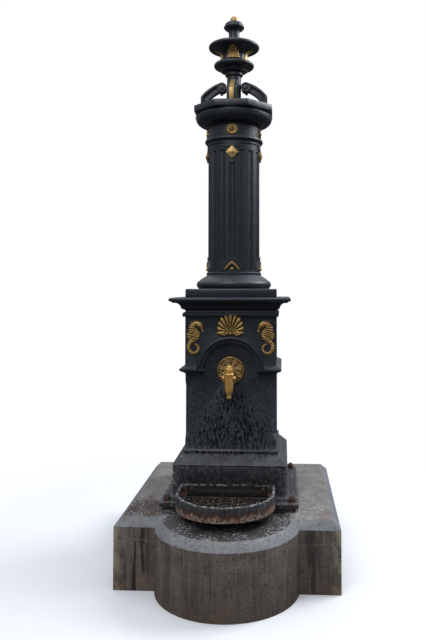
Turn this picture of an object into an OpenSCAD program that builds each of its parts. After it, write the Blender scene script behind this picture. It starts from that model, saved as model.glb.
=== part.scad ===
// Cast-iron drinking fountain with a brass push tap, on a stone plinth with a round front.
// Millimetres, +Z up. The origin is on the ground under the column's axis, and the front is -Y.

/* [Stone plinth] */
// Width of the stone block
stone_w = 1100; // [900:10:1400]
// Depth of the stone block
stone_d = 1100; // [900:10:1400]
// Height of the stone block
stone_h = 340; // [240:5:450]
// Distance from the column's axis to the block's front face
stone_front = 477; // [440:1:560]
// Radius of the round front of the stone
lobe_r = 352; // [310:1:420]
// Chamfer round the top of the stone
stone_chamfer = 38; // [10:1:50]
// Thickness of the mortar bed under the iron
mortar_t = 20; // [8:1:40]

/* [Iron base] */
// Reach of the foot flange over the base box
flange_out = 58; // [50:1:80]
// Thickness of the foot flange
flange_t = 26; // [16:1:40]
// Reach of the base box over the pedestal
box_out = 54; // [44:1:66]
// Height of the base box above the flange
box_h = 162; // [130:1:220]
// Wall of the iron castings
wall = 12; // [8:1:14]
// Height of the sloping skirt over the box
skirt_h = 54; // [40:1:80]
// Radius of an anchor stud
anchor_r = 10; // [6:0.5:11]

/* [Pedestal] */
// Half width of the square pedestal
body_half = 238; // [198:1:286]
// Height of the pedestal body
body_h = 744; // [660:1:900]
// Depth of the arched recess and of the plain face below it
recess_d = 12; // [8:1:16]
// Radius of the arched recess
arch_r = 142; // [120:1:150]
// Height of the impost moulding's underside over the body's foot
impost_rise = 415; // [380:1:460]
// Reach of the cornice over the body
cornice_out = 76; // [50:1:90]
// Height of the cornice
cornice_h = 64; // [50:1:80]
// Chamfer on the pedestal's corners
corner_cut = 25; // [12:1:34]

/* [Column] */
// Height of the square block under the column
block_h = 46; // [30:1:70]
// Height of the round column base
col_base_h = 91; // [86:1:120]
// Radius of the shaft
shaft_r = 143.5; // [119:0.5:160]
// Height of the shaft, from the round base to the neck ring
shaft_h = 704; // [560:1:900]
// Wall of the hollow shaft
shaft_wall = 18; // [14:1:26]
// Number of flutes, a multiple of four
flutes = 16; // [12:4:20]
// Depth of a flute
flute_depth = 9; // [3:0.5:10]
// Height of the capital from the neck ring to the abacus
capital_h = 144; // [130:1:180]
// Reach of the eight-sided abacus over the shaft, across its flats
abacus_out = 71.5; // [66:0.5:90]
// Thickness of the abacus
abacus_t = 36; // [24:1:50]

/* [Finial] */
// Radius of the finial's post
post_r = 40; // [34:1:46]
// Height of the finial's post
post_h = 178; // [172:1:210]
// Distance of a scroll bracket's foot inside the abacus's edge
bracket_in = 29; // [20:1:40]
// Width of a scroll bracket's face
bracket_w = 54; // [44:1:60]
// Radius of the lower disc
low_disc_r = 113; // [100:1:125]
// Radius of the upper disc
top_disc_r = 143; // [125:1:160]
// Radius of the acorn on the top
acorn_r = 22; // [16:0.5:26]

/* [Tap] */
// Height of the tap's arm over the body's foot
tap_rise = 428; // [400:1:450]
// Distance from the recessed face to the tap's barrel axis
tap_reach = 104; // [92:1:130]
// Largest radius of the tap's barrel
barrel_r = 23; // [20:0.5:26]
// Radius of the push button
button_r = 14.5; // [12:0.5:16]
// Travel of the push button
button_travel = 7; // [4:0.5:8]
// Radius of the round tap plate
plate_r = 71.5; // [60:0.5:80]
// Radius of the supply pipe
pipe_r = 13.5; // [10:0.5:16]

/* [Tray] */
// Sideways place of the tray's centre
tray_x = -10; // [-20:1:20]
// Radius of the tray's round front
tray_r = 243; // [220:1:250]
// Distance of the round front's centre from the base box
tray_straight = 123; // [100:1:140]
// Depth of the tray from the rim to the underside
tray_h = 72; // [60:1:85]
// Wall of the tray
tray_wall = 8; // [6:0.5:10]
// Radius of the waste pipe
drain_r = 27.5; // [20:0.5:32]

/* [Service door] */
// Width of the rear service door
door_w = 256; // [220:1:280]
// Height of the rear service door
door_h = 316; // [260:1:330]
// Thickness of the rear service door
door_t = 8; // [6:0.5:10]

/* [Hidden] */
$fn = 96;

iron = "#2b3036";
gold = "#9a7338";
brass = "#b08a4a";
steel = "#8b8f94";
over = 1;            // how far a cutter runs past the face it cuts
fit = 0.3;           // gap round a piece that passes through another
shaft_fit = 0.1;     // running gap round the tap's spindle, button and the door's pins
sink = 0.2;          // gap between curved faces that seat on each other
seat = 0.1;          // gap that keeps a nut apart from its washer

// Levels, from the ground up
z_flange = stone_h + mortar_t;
z_box = z_flange + flange_t;
z_skirt = z_box + box_h;
z_body = z_skirt + skirt_h;
z_cornice = z_body + body_h;
z_block = z_cornice + cornice_h;
z_col = z_block + block_h;
z_shaft = z_col + col_base_h;
z_neck = z_shaft + shaft_h;
neck_ring_h = 39;
tab_drop = 24;
z_capital = z_neck + neck_ring_h;
z_abacus = z_capital + capital_h;
z_post = z_abacus + abacus_t;
z_disc = z_post + post_h;

// Stone and anchors
lobe_y = stone_front - 51;
stone_back = stone_d - stone_front;
duct_y = 125;
duct_r = 105;
anchor_depth = 160;
nut_t = 0.8 * 2 * anchor_r;
washer_t = 3;

// Base and pedestal
box_half = body_half + box_out;
flange_half = box_half + flange_out;
anchor_pos = flange_half - 33;
bolt_pos = body_half - 48;
bolt_r = 6;
flange_open = body_half - 78;
lug_t = wall;
foot_out = 12;
foot_h = 16;
band_z = z_cornice - 36;
z_impost = z_body + impost_rise;
arch_z = z_impost + 17;
recess_y = body_half - recess_d;
cavity_half = body_half - wall;
cavity_front = recess_y - wall;
moulding_out = 10;
rod_r = 10;
rod_hole_r = rod_r + 2;

// Column
flute_half = 90 / flutes * 1.25;
flute_z0 = z_shaft + 13;
flute_z1 = z_neck - 38;
arch_w = 64;
arch_h = 82;
arch_proud = 5;
boss_z = z_neck - 54;
capital_neck = capital_h - 81;
rosette_z = z_capital + capital_neck / 2 + 1;
rosette_r = capital_neck / 2 - 2.5;
abacus_half = shaft_r + abacus_out;

// Finial and its brackets
bracket_out = abacus_half - bracket_in;
bow_c = [4, z_post - 76];
bow_r = norm([bracket_out - 4, 142]);
band_w = 45;
scroll_r = 27;
scroll_x = post_r + scroll_r + fit;
scroll_rise = sqrt(pow(bow_r - scroll_r, 2) - pow(scroll_x - bow_c.x, 2));
scroll_c = [scroll_x, bow_c.y + scroll_rise];
flare_z = z_disc + 94;
flare_h = 70;
neck_r = 69;
z_cap = flare_z + flare_h + 44;

// Wall ornaments
shell_z = z_cornice - 120;
seahorse_x = body_half - 54;
seahorse_z = z_cornice - 237;

// Tap
tap_z = z_body + tap_rise;
tap_y = recess_y + tap_reach;
plate_t = 9;
barrel_top = tap_z - 2;
barrel_h = 99;
nozzle_r = 10;
nozzle_drop = 27;
spindle_r = 4;
stem_r = 10;
bonnet_h = 26;
button_in = 4;       // how far the button's cap starts inside the bonnet
plug_drop = 25;
chamber_r = barrel_r - 10;
seat_z = barrel_top - 38;
spring_z = seat_z + 10;
tail_r = 13;
elbow_y = 120;
elbow_drop = 46;
inlet_z = 20;
inlet_r = pipe_r + 2.5;
inlet_len = 60;
valve_z = z_body + 160;
valve_r = 24;
valve_half = 34;
valve_stem_y = valve_r + 14 - elbow_y;
lever_t = 4;

// Tray
tray_top = z_box + 2 + tray_h;
tray_floor = z_box + 2;
tray_cy = box_half + tray_straight;
floor_t = 6;
back_t = 8;
rim_r = 8;
grate_t = 8;
grate_z = tray_floor + floor_t;
grate_half = tray_r - 2 * rim_r - 3;
drain_y = tray_cy - 8;
tray_bolt_x = 182;
tray_bolt_z = tray_top - 22;
tray_bolt_r = 6;

// Door
door_z = z_body + 68;
door_gap = 0.5;
hinge_r = 7;
hinge_x = door_w / 2 + 12;
hinge_y = body_half + hinge_r + door_gap;
pin_r = 3.5;
door_eye = 36;
rivet_r = 2.5;
rivet_x = hinge_x + 18;
rivet_rise = 20;
lock_x = -door_w / 2 + 22;
lock_r = 8;
cam_len = 34;

// Points of a quarter ellipse that leaves a upright and reaches b lying flat
function quarter(a, b, n = 8) =
    [for (i = [0:n]) [b.x + (a.x - b.x) * cos(90 * i / n), a.y + (b.y - a.y) * sin(90 * i / n)]];

// Points of a circular arc
function arc(c, r, a0, a1, n = 12) =
    [for (i = [0:n]) let (a = a0 + (a1 - a0) * i / n) [c.x + r * cos(a), c.y + r * sin(a)]];

// The same outline on the other side of the axis, in reverse order
function flipped(points) = [for (i = [len(points) - 1:-1:0]) [-points[i].x, points[i].y]];

function reversed(points) = [for (i = [len(points) - 1:-1:0]) points[i]];

// A moulding run round a square: at each height its half width is the outline's x
module square_turned(outline, reach = 400) {
    shape = concat(outline, flipped(outline));
    intersection() {
        rotate([90, 0, 0]) linear_extrude(2 * reach, center = true) polygon(shape);
        rotate([90, 0, 90]) linear_extrude(2 * reach, center = true) polygon(shape);
    }
}

module square_tube(out, inner, z0, z1) {
    translate([0, 0, z0]) difference() {
        translate([-out, -out, 0]) cube([2 * out, 2 * out, z1 - z0]);
        translate([-inner, -inner, -over]) cube([2 * inner, 2 * inner, z1 - z0 + 2 * over]);
    }
}

// A block given by its low and high corners
module block(low, high) {
    translate(low) cube(high - low);
}

module at_corners(pos) {
    for (x = [-pos, pos]) {
        for (y = [-pos, pos]) {
            translate([x, y, 0]) children();
        }
    }
}

module four_sides() {
    for (a = [0:90:270]) {
        rotate([0, 0, a]) children();
    }
}

// A cylinder along Y from y0 to y1
module bar_y(r, y0, y1) {
    translate([0, y0, 0]) rotate([-90, 0, 0]) cylinder(r = r, h = y1 - y0);
}

module hex(r, h) {
    cylinder(r = r, h = h, $fn = 6);
}

// An outline in x and z, stood up and pushed from y0 to y1
module face_plate(y0, y1) {
    translate([0, y1, 0]) rotate([90, 0, 0]) linear_extrude(y1 - y0) children();
}

module gothic(w, h) {
    r = (w * w + h * h) / (2 * w);
    intersection() {
        translate([r - w, 0]) circle(r);
        translate([w - r, 0]) circle(r);
        translate([-w, 0]) square([2 * w, h]);
    }
}

module stone_plinth() {
    top = stone_h - stone_chamfer;
    half = stone_w / 2;
    color("#6f665c") difference() {
        union() {
            intersection() {
                rotate([90, 0, 90]) linear_extrude(stone_w, center = true) polygon([
                    [-stone_front, 0], [stone_back, 0], [stone_back, top],
                    [stone_back - stone_chamfer, stone_h],
                    [stone_chamfer - stone_front, stone_h], [-stone_front, top]
                ]);
                rotate([90, 0, 0]) linear_extrude(3 * stone_d, center = true) polygon([
                    [-half, 0], [half, 0], [half, top], [half - stone_chamfer, stone_h],
                    [stone_chamfer - half, stone_h], [-half, top]
                ]);
            }
            translate([0, -lobe_y, 0]) rotate_extrude($fn = 160) polygon([
                [0, 0], [lobe_r, 0], [lobe_r, top], [lobe_r - stone_chamfer, stone_h], [0, stone_h]
            ]);
        }
        translate([0, -duct_y, -over]) cylinder(r = duct_r, h = stone_h + 2 * over);
        translate([tray_x, -drain_y, -over]) cylinder(r = drain_r + 3, h = stone_h + 2 * over);
        at_corners(anchor_pos)
            translate([0, 0, stone_h - anchor_depth])
            cylinder(r = anchor_r + fit, h = anchor_depth + over);
    }
}

module mortar_bed() {
    half = flange_half - 14;
    color("#4a4640") difference() {
        translate([-half, -half, stone_h]) cube([2 * half, 2 * half, mortar_t]);
        translate([0, -duct_y, stone_h - over]) cylinder(r = duct_r, h = mortar_t + 2 * over);
        at_corners(anchor_pos)
            translate([0, 0, stone_h - over]) cylinder(r = anchor_r + fit, h = mortar_t + 2 * over);
    }
}

module base_flange() {
    inner = box_half - wall;
    edge = 5;
    color(iron) difference() {
        square_turned([
            [0, z_flange], [flange_half, z_flange], [flange_half, z_box - edge],
            [flange_half - edge, z_box], [0, z_box]
        ]);
        block([-inner, -inner, z_flange - over], [inner, inner, z_box + over]);
        at_corners(anchor_pos)
            translate([0, 0, z_flange - over]) cylinder(r = anchor_r + 1, h = flange_t + 2 * over);
    }
}

module pedestal_base() {
    inner = box_half - wall;
    color(iron) difference() {
        square_turned([
            [0, z_box], [box_half + foot_out, z_box], [box_half + foot_out, z_box + 4],
            [box_half, z_box + foot_h], [box_half, z_skirt - 2], [box_half - 2, z_skirt], [0, z_skirt]
        ]);
        block([-inner, -inner, z_box - over], [inner, inner, z_skirt - lug_t]);
        block([-flange_open, -flange_open, z_box], [flange_open, flange_open, z_skirt + over]);
        at_corners(bolt_pos)
            translate([0, 0, z_skirt - lug_t - over]) cylinder(r = bolt_r + fit, h = lug_t + 2 * over);
        for (side = [-1, 1]) {
            translate([tray_x + side * tray_bolt_x, 0, tray_bolt_z])
                bar_y(tray_bolt_r + fit, -box_half - over, -inner + over);
        }
    }
}

module base_skirt() {
    groove = 7;
    lip = 3;
    top_half = body_half + moulding_out;
    color(iron) difference() {
        square_turned([
            [0, z_skirt], [box_half - groove, z_skirt], [box_half - groove, z_skirt + 4],
            [box_half + lip, z_skirt + 4], [box_half + lip, z_skirt + 8], [top_half, z_body],
            [0, z_body]
        ]);
        square_turned([
            [0, z_skirt - over], [box_half - 3 * wall, z_skirt - over],
            [box_half - 3 * wall, z_skirt + wall], [cavity_half, z_body - wall],
            [cavity_half, z_body + over], [0, z_body + over]
        ]);
    }
}

// Cuts a stopped chamfer down one corner that stands at (x, y) between z0 and z1
module stopped_chamfer(x, y, z0, z1, stop) {
    deep = corner_cut / sqrt(2);
    past = 6;
    rise = stop * past / deep;
    translate([x, y, 0]) rotate([0, 0, (x * y > 0 ? 45 : -45) + (x < 0 ? 180 : 0)])
        rotate([90, 0, 0]) linear_extrude(3 * corner_cut, center = true) polygon([
            [-deep, z0 + stop], [-deep, z1 - stop], [past, z1 + rise], [past, z0 - rise]
        ]);
}

// The impost moulding's outline, from its underside up
function impost_outline() = [
    [0, z_impost], [body_half + 6, z_impost], [body_half + 9, z_impost + 6],
    [body_half + 14, z_impost + 6], [body_half + 27, z_impost + 14],
    [body_half + 27, z_impost + 23], [body_half, z_impost + 38], [0, z_impost + 38]
];

module impost_and_band() {
    leg_r = arch_r + 32;
    difference() {
        square_turned(impost_outline());
        block([-leg_r, -2 * body_half, z_impost + 14], [leg_r, 0, z_impost + 40]);
        block([-arch_r, -2 * body_half, z_impost - over], [arch_r, 0, z_impost + 20]);
    }
    square_turned([
        [0, band_z], [body_half + 9, band_z], [body_half + 13, band_z + 4],
        [body_half + 13, band_z + 18], [body_half + 6, band_z + 24], [0, band_z + 24]
    ]);
}

// Round the arch: a flat band and a raised bead, on legs that stand on the impost
module archivolt() {
    band = 14;
    bead = 8;
    outline = concat(
        [[arch_r, -over], [arch_r, 4], [arch_r + band, 4]],
        arc([arch_r + band + bead, 4], bead, 180, 0, 8),
        [[arch_r + band + 2 * bead + 2, -over]]
    );
    leg = 20;
    translate([0, -body_half, arch_z]) rotate([90, 0, 0]) {
        rotate_extrude(angle = 180) polygon(outline);
        for (side = [0, 1]) {
            mirror([side, 0, 0]) rotate([90, 0, 0]) linear_extrude(leg) polygon(outline);
        }
    }
}

module pedestal_body() {
    far = body_half + 50;
    stop = 32;
    chamfer_z0 = z_body + 68;
    chamfer_z1 = z_impost - 35;
    pocket = corner_cut;
    color(iron) difference() {
        union() {
            difference() {
                square_turned([
                    [0, z_body], [body_half, z_body], [body_half, z_cornice], [0, z_cornice]
                ]);
                block([-far, -far, z_body + 22], [far, -recess_y, z_impost]);
                block([-arch_r, -far, z_impost - over], [arch_r, -recess_y, arch_z]);
                translate([0, 0, arch_z]) bar_y(arch_r, -far, -recess_y);
            }
            square_turned(concat(
                [[0, z_body], [body_half + moulding_out, z_body]],
                quarter([body_half + moulding_out, z_body + 12], [body_half, z_body + 24], 6),
                [[0, z_body + 24]]
            ));
            impost_and_band();
            archivolt();
        }
        block([-cavity_half, -cavity_front, z_body + lug_t],
              [cavity_half, cavity_half, z_cornice - lug_t]);
        block([-flange_open, -flange_open, z_body - over],
              [flange_open, flange_open, z_cornice + over]);
        at_corners(bolt_pos)
            translate([0, 0, z_body - over]) cylinder(r = bolt_r + fit, h = body_h + 2 * over);
        for (side = [-1, 1]) {
            stopped_chamfer(side * body_half, -recess_y, chamfer_z0, chamfer_z1, stop);
            stopped_chamfer(side * body_half, body_half, chamfer_z0, chamfer_z1, stop);
        }
        translate([0, 0, tap_z]) bar_y(tail_r + fit, -recess_y - over, -cavity_front + over);
        block([-door_w / 2 + wall, cavity_half - over, door_z + wall],
              [door_w / 2 - wall, far, door_z + door_h - wall]);
        for (z = hinge_levels(), s = [-1, 1]) {
            translate([rivet_x, 0, z + s * rivet_rise])
                bar_y(rivet_r + fit, cavity_half - over, body_half + over);
        }
    }
}

module cornice() {
    edge = body_half + cornice_out;
    drop = 18;
    color(iron) difference() {
        square_turned(concat(
            [[0, z_cornice], [body_half + 6, z_cornice], [body_half + 13, z_cornice + 5]],
            quarter([body_half + 20, z_cornice + 8], [edge - 26, z_block - drop - 9], 8),
            [[edge - 18, z_block - drop - 9], [edge - 14, z_block - drop - 4],
             [edge - 4, z_block - drop], [edge, z_block - drop + 3], [edge, z_block - 5],
             [edge - 8, z_block], [0, z_block]]
        ));
        block([-cavity_half, -cavity_half, z_cornice - over],
              [cavity_half, cavity_half, z_block - lug_t]);
        translate([0, 0, z_cornice]) cylinder(r = rod_hole_r, h = cornice_h + over);
        at_corners(bolt_pos)
            translate([0, 0, z_cornice]) cylinder(r = bolt_r + fit, h = cornice_h + over);
    }
}

module anchor_studs() {
    foot = stone_h - anchor_depth;
    top = z_box + washer_t + nut_t + 9;
    color(steel) at_corners(anchor_pos)
        translate([0, 0, foot]) cylinder(r = anchor_r, h = top - foot);
}

module anchor_nuts() {
    color("#5b4a3e") at_corners(anchor_pos) {
        translate([0, 0, z_box]) difference() {
            cylinder(r = 1.8 * anchor_r, h = washer_t - seat);
            translate([0, 0, -over]) cylinder(r = anchor_r + sink, h = washer_t + 2 * over);
        }
        translate([0, 0, z_box + washer_t]) difference() {
            hex(1.75 * anchor_r, nut_t);
            translate([0, 0, -over]) cylinder(r = anchor_r + sink, h = nut_t + 2 * over);
        }
    }
}

// A bolt with a hex head below and a nut on top, clamping from z0 to z1
module through_bolt(z0, z1) {
    head = 9;
    translate([0, 0, z0 - head]) {
        hex(1.8 * bolt_r, head);
        cylinder(r = bolt_r, h = z1 - z0 + 3 * head);
    }
    translate([0, 0, z1]) difference() {
        hex(1.8 * bolt_r, 10);
        translate([0, 0, -over]) cylinder(r = bolt_r + sink, h = 10 + 2 * over);
    }
}

module body_tie_bolts() {
    color(steel) at_corners(bolt_pos) through_bolt(z_skirt - lug_t, z_body + lug_t);
}

module cornice_screws() {
    color(steel) at_corners(bolt_pos) through_bolt(z_cornice - lug_t, z_block);
}

module column_block() {
    half = body_half;
    color(iron) difference() {
        square_turned([
            [0, z_block], [half, z_block], [half, z_col - 5], [half - 3, z_col], [0, z_col]
        ]);
        block([-half + wall, -half + wall, z_block - over], [half - wall, half - wall, z_col - wall]);
        translate([0, 0, z_block]) cylinder(r = shaft_r - shaft_wall - 6, h = block_h + over);
    }
}

module column_base() {
    foot_r = shaft_r + 54;
    ring_r = shaft_r + 9;
    ring_z = z_shaft - 18;
    inner = shaft_r - shaft_wall - 6;
    swell_z = z_col + 23;
    color(iron) rotate_extrude($fn = 128) polygon(concat(
        [[inner, z_col], [foot_r, z_col]],
        arc([foot_r - 13, swell_z], 23, -55, 60, 8),
        [[foot_r - 14, swell_z + 30], [foot_r - 30, swell_z + 41], [ring_r + 4, ring_z - 4],
         [ring_r, ring_z], [ring_r, z_shaft - 3], [ring_r - 3, z_shaft], [inner, z_shaft]]
    ));
}

module flute_cuts() {
    half_chord = shaft_r * sin(flute_half);
    cut_r = (half_chord * half_chord + flute_depth * flute_depth) / (2 * flute_depth);
    for (i = [0:flutes - 1]) {
        side = i % (flutes / 4) == 0;
        top = side ? boss_z - 48 : flute_z1;
        low = side ? z_shaft + 60 : flute_z0;
        rotate([0, 0, i * 360 / flutes]) difference() {
            translate([0, flute_depth - shaft_r - cut_r, low]) cylinder(r = cut_r, h = top - low);
            if (side) {
                translate([0, -shaft_r, top]) rotate([0, 45, 0]) cube([20, 60, 20], center = true);
            }
        }
    }
}

module column_shaft() {
    lip = 6;
    color(iron) difference() {
        union() {
            translate([0, 0, z_shaft]) cylinder(r = shaft_r, h = shaft_h, $fn = 128);
            translate([0, 0, z_shaft]) cylinder(r = shaft_r + 2.5, h = lip, $fn = 128);
        }
        flute_cuts();
        translate([0, 0, z_shaft - over])
            cylinder(r = shaft_r - shaft_wall, h = shaft_h + 2 * over);
    }
    color(iron) intersection() {
        translate([0, 0, z_shaft]) difference() {
            cylinder(r = shaft_r + arch_proud, h = arch_h + lip, $fn = 128);
            translate([0, 0, -over])
                cylinder(r = shaft_r - flute_depth - 2, h = arch_h + lip + 2 * over);
        }
        four_sides() translate([0, 0, z_shaft + lip - over])
            face_plate(-shaft_r - arch_proud - over, -shaft_r / 2) difference() {
                gothic(arch_w, arch_h);
                gothic(arch_w - 32, arch_h - 41);
            }
    }
}

module gold_chevrons() {
    bead = 5;
    color(gold) difference() {
        intersection() {
            translate([0, 0, z_shaft]) cylinder(r = shaft_r + arch_proud + bead, h = arch_h);
            four_sides() translate([0, 0, z_shaft + 14])
                face_plate(-shaft_r - arch_proud - 2 * bead, -shaft_r / 2) polygon([
                    [-43, 0], [-24, 24], [0, 45], [24, 24], [43, 0],
                    [33, 0], [17, 19], [0, 33], [-17, 19], [-33, 0]
                ]);
        }
        translate([0, 0, z_shaft - over])
            cylinder(r = shaft_r + arch_proud + sink, h = arch_h + 2 * over, $fn = 128);
    }
}

module gold_balls() {
    ball_r = 9.5;
    color(gold) four_sides() difference() {
        translate([0, -shaft_r - 4, z_shaft + 16]) sphere(r = ball_r, $fn = 32);
        translate([0, 0, z_shaft]) cylinder(r = shaft_r + sink, h = 40, $fn = 128);
    }
}

// A square pyramid that points at -Y, stood on its corner
module pyramid(half, y0, y1) {
    wedge = [[-half, 0], [half, 0], [0, y1 - y0]];
    translate([0, -y0, 0]) rotate([0, 45, 0]) intersection() {
        rotate([180, 0, 0]) linear_extrude(2 * half, center = true) polygon(wedge);
        rotate([180, 90, 0]) linear_extrude(2 * half, center = true) polygon(wedge);
    }
}

module lozenge_bosses() {
    half = 24.5;
    back = shaft_r - 6;
    face = shaft_r + 8;
    color(gold) four_sides() difference() {
        translate([0, 0, boss_z]) union() {
            rotate([0, 45, 0]) translate([-half, -face, -half]) cube([2 * half, face - back, 2 * half]);
            pyramid(half - 4, face - 0.5, shaft_r + 18);
        }
        cylinder(r = shaft_r + sink, h = z_neck, $fn = 128);
        translate([0, 0, z_neck - tab_drop - fit]) cylinder(r = shaft_r + 6 + fit, h = 60);
    }
}

module neck_ring() {
    collar_r = shaft_r + 6;
    inner = shaft_r - shaft_wall;
    tab_w = 47;
    bead = 13;
    color(iron) rotate_extrude($fn = 128) polygon(concat(
        [[inner, z_neck], [collar_r, z_neck], [collar_r, z_capital - 2 * bead]],
        arc([shaft_r + 6, z_capital - bead], bead, -90, 90, 12),
        [[inner, z_capital]]
    ));
    color(iron) intersection() {
        translate([0, 0, z_neck - tab_drop]) difference() {
            cylinder(r = collar_r, h = tab_drop + over, $fn = 128);
            translate([0, 0, -over]) cylinder(r = shaft_r + fit, h = tab_drop + over, $fn = 128);
        }
        four_sides() block([-tab_w, -collar_r - over, z_neck - tab_drop - over],
                           [tab_w, -shaft_r / 2, z_neck + over]);
    }
}

module capital() {
    inner = shaft_r - shaft_wall;
    neck_top = z_capital + capital_neck;
    color(iron) rotate_extrude($fn = 128) polygon(concat(
        [[inner, z_capital], [shaft_r + 4, z_capital], [shaft_r, z_capital + 3],
         [shaft_r, neck_top], [shaft_r + 8, neck_top + 1], [shaft_r + 11, neck_top + 6],
         [shaft_r + 8, neck_top + 11]],
        reversed(quarter([abacus_half - 2, z_abacus - 26], [shaft_r + 13, neck_top + 12], 12)),
        [[abacus_half + 1, z_abacus - 23], [abacus_half + 1, z_abacus - 17],
         [abacus_half - 5, z_abacus - 12], [abacus_half - 12, z_abacus - 9],
         [abacus_half - 12, z_abacus], [inner, z_abacus]]
    ));
}

module capital_rosettes() {
    thick = 9;
    color(gold) four_sides() difference() {
        translate([0, 0, rosette_z]) union() {
            bar_y(rosette_r, -shaft_r - thick + 3, -shaft_r + 6);
            bar_y(rosette_r - 8, -shaft_r - thick, -shaft_r + 6);
            bar_y(8, -shaft_r - thick - 4, -shaft_r + 6);
        }
        translate([0, 0, z_capital]) cylinder(r = shaft_r + sink, h = capital_h, $fn = 128);
    }
}

module abacus() {
    color(iron) difference() {
        translate([0, 0, z_abacus]) rotate([0, 0, 22.5])
            cylinder(r = abacus_half / cos(22.5), h = abacus_t, $fn = 8);
        translate([0, 0, z_abacus - over]) cylinder(r = rod_hole_r, h = abacus_t + 2 * over);
    }
}

// A scroll bracket's side outline: x is the distance from the axis, y is the height
module bow(outer, inner) {
    leg = bracket_out - bow_r + outer;
    thick = outer - inner;
    intersection() {
        difference() {
            translate(bow_c) circle(outer, $fn = 160);
            translate(bow_c) circle(inner, $fn = 160);
        }
        translate([scroll_c.x + 8, z_post]) square([leg - scroll_c.x - 8, 400]);
    }
    height = bow_c.y - z_post + sqrt(pow(inner, 2) - pow(leg - thick - bow_c.x, 2));
    translate([leg - thick, z_post]) square([thick, height + 3]);
}

module bracket() {
    web = 30;
    rim = 12;
    // The bracket is drawn in x and z, then turned so that it reaches forward
    color(iron) rotate([0, 0, -90]) {
        face_plate(-web / 2, web / 2) bow(bow_r, bow_r - band_w);
        face_plate(-bracket_w / 2, bracket_w / 2) bow(bow_r, bow_r - rim);
        face_plate(-web / 2 - 5, web / 2 + 5) bow(bow_r - band_w + 8, bow_r - band_w);
        face_plate(5 - bracket_w / 2, bracket_w / 2 - 5) translate(scroll_c) circle(scroll_r);
        face_plate(-bracket_w / 2, bracket_w / 2) translate(scroll_c) difference() {
            circle(scroll_r);
            circle(scroll_r - 6);
        }
        face_plate(-bracket_w / 2, bracket_w / 2) translate(scroll_c) circle(scroll_r / 2);
        face_plate(-web / 2, web / 2) translate([scroll_c.x + 3, scroll_c.y - scroll_r - 2]) circle(9);
    }
}

module bracket_inlays() {
    strip_w = 23;
    proud = 2;
    color(gold) four_sides() rotate([0, 0, -90]) face_plate(-strip_w / 2, strip_w / 2)
        difference() {
            bow(bow_r + proud, bow_r + sink);
            translate([0, z_post - over]) square([scroll_c.x + 20, 400]);
        }
}

module finial_post() {
    nut_room_r = 24;
    color(iron) difference() {
        union() {
            translate([0, 0, z_post]) cylinder(r = post_r, h = post_h);
            translate([0, 0, z_disc]) cylinder(r = post_r / 2, h = 60);
        }
        translate([0, 0, z_post - over]) cylinder(r = nut_room_r, h = 60);
    }
}

module finial_lower_disc() {
    socket_r = post_r / 2 + sink;
    color(iron) rotate_extrude($fn = 128) polygon(concat(
        [[socket_r, z_disc], [post_r + 2, z_disc], [post_r + 10, z_disc + 10],
         [post_r + 10, z_disc + 20], [post_r + 20, z_disc + 25]],
        quarter([post_r + 32, z_disc + 31], [low_disc_r - 14, z_disc + 50], 4),
        arc([low_disc_r - 14, z_disc + 65], 14, -80, 80, 8),
        [[low_disc_r - 26, z_disc + 84], [72, z_disc + 90], [68, z_disc + 94], [socket_r, z_disc + 94]]
    ));
}

// The hollow curve under the upper disc, from its neck out to its rim
function flare() = quarter([neck_r, flare_z + 18], [top_disc_r - 13, flare_z + flare_h - 6], 10);

module finial_upper_disc() {
    socket_r = post_r / 2 + sink;
    rim = 13;
    top = flare_z + flare_h + 44;
    color(iron) difference() {
        rotate_extrude($fn = 128) polygon(concat(
            [[0, flare_z], [neck_r, flare_z]],
            flare(),
            arc([top_disc_r - rim, flare_z + flare_h + 5], rim, -80, 70, 8),
            [[top_disc_r * 0.6, top - 13], [46, top - 4], [34, top], [0, top]]
        ));
        translate([0, 0, flare_z - over]) cylinder(r = socket_r, h = 30);
        translate([0, 0, top - 20]) cylinder(r = 8, h = 30);
    }
}

module finial_leaves() {
    thick = 5;
    tip = 58;
    inner = [for (p = flare()) if (p.y < flare_z + tip) p + [sink, 0]];
    outer = [for (p = inner) p + [thick, -1]];
    color(gold) intersection() {
        rotate_extrude($fn = 128) polygon(concat(
            [[neck_r + sink, flare_z + sink], [neck_r + thick, flare_z + sink]],
            outer, reversed(inner)
        ));
        four_sides() translate([0, 0, flare_z]) face_plate(-top_disc_r, -neck_r / 3)
            polygon(concat(
                [[-38, 0], [38, 0]],
                quarter([32, 14], [0, tip + 6], 8),
                flipped(quarter([32, 14], [0, tip + 6], 8))
            ));
    }
}

module finial_cap() {
    cap_r = 58;
    color(iron) rotate_extrude() polygon(concat(
        [[0, z_cap - 19], [7.8, z_cap - 19], [7.8, z_cap], [32, z_cap], [30, z_cap + 8],
         [30, z_cap + 46]],
        quarter([31, z_cap + 50], [cap_r - 10, z_cap + 65], 5),
        arc([cap_r - 8, z_cap + 78], 8, -60, 60, 6),
        quarter([cap_r - 4, z_cap + 86], [acorn_r + 4, z_cap + 109], 6),
        [[6, z_cap + 109], [6, z_cap + 95], [0, z_cap + 95]]
    ));
}

module finial_acorn() {
    z0 = z_cap + 109;
    color(gold) rotate_extrude() polygon(concat(
        [[0, z0 - 13.8], [5.8, z0 - 13.8], [5.8, z0 + sink], [acorn_r - 3, z0 + sink]],
        arc([acorn_r - 5, z0 + 5], 5, -60, 0, 3),
        quarter([acorn_r, z0 + 10], [3, z0 + 33], 8),
        [[0, z0 + 34]]
    ));
}

module rod_nut() {
    difference() {
        hex(1.8 * rod_r, 14);
        translate([0, 0, -over]) cylinder(r = rod_r + sink, h = 14 + 2 * over);
    }
}

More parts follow.
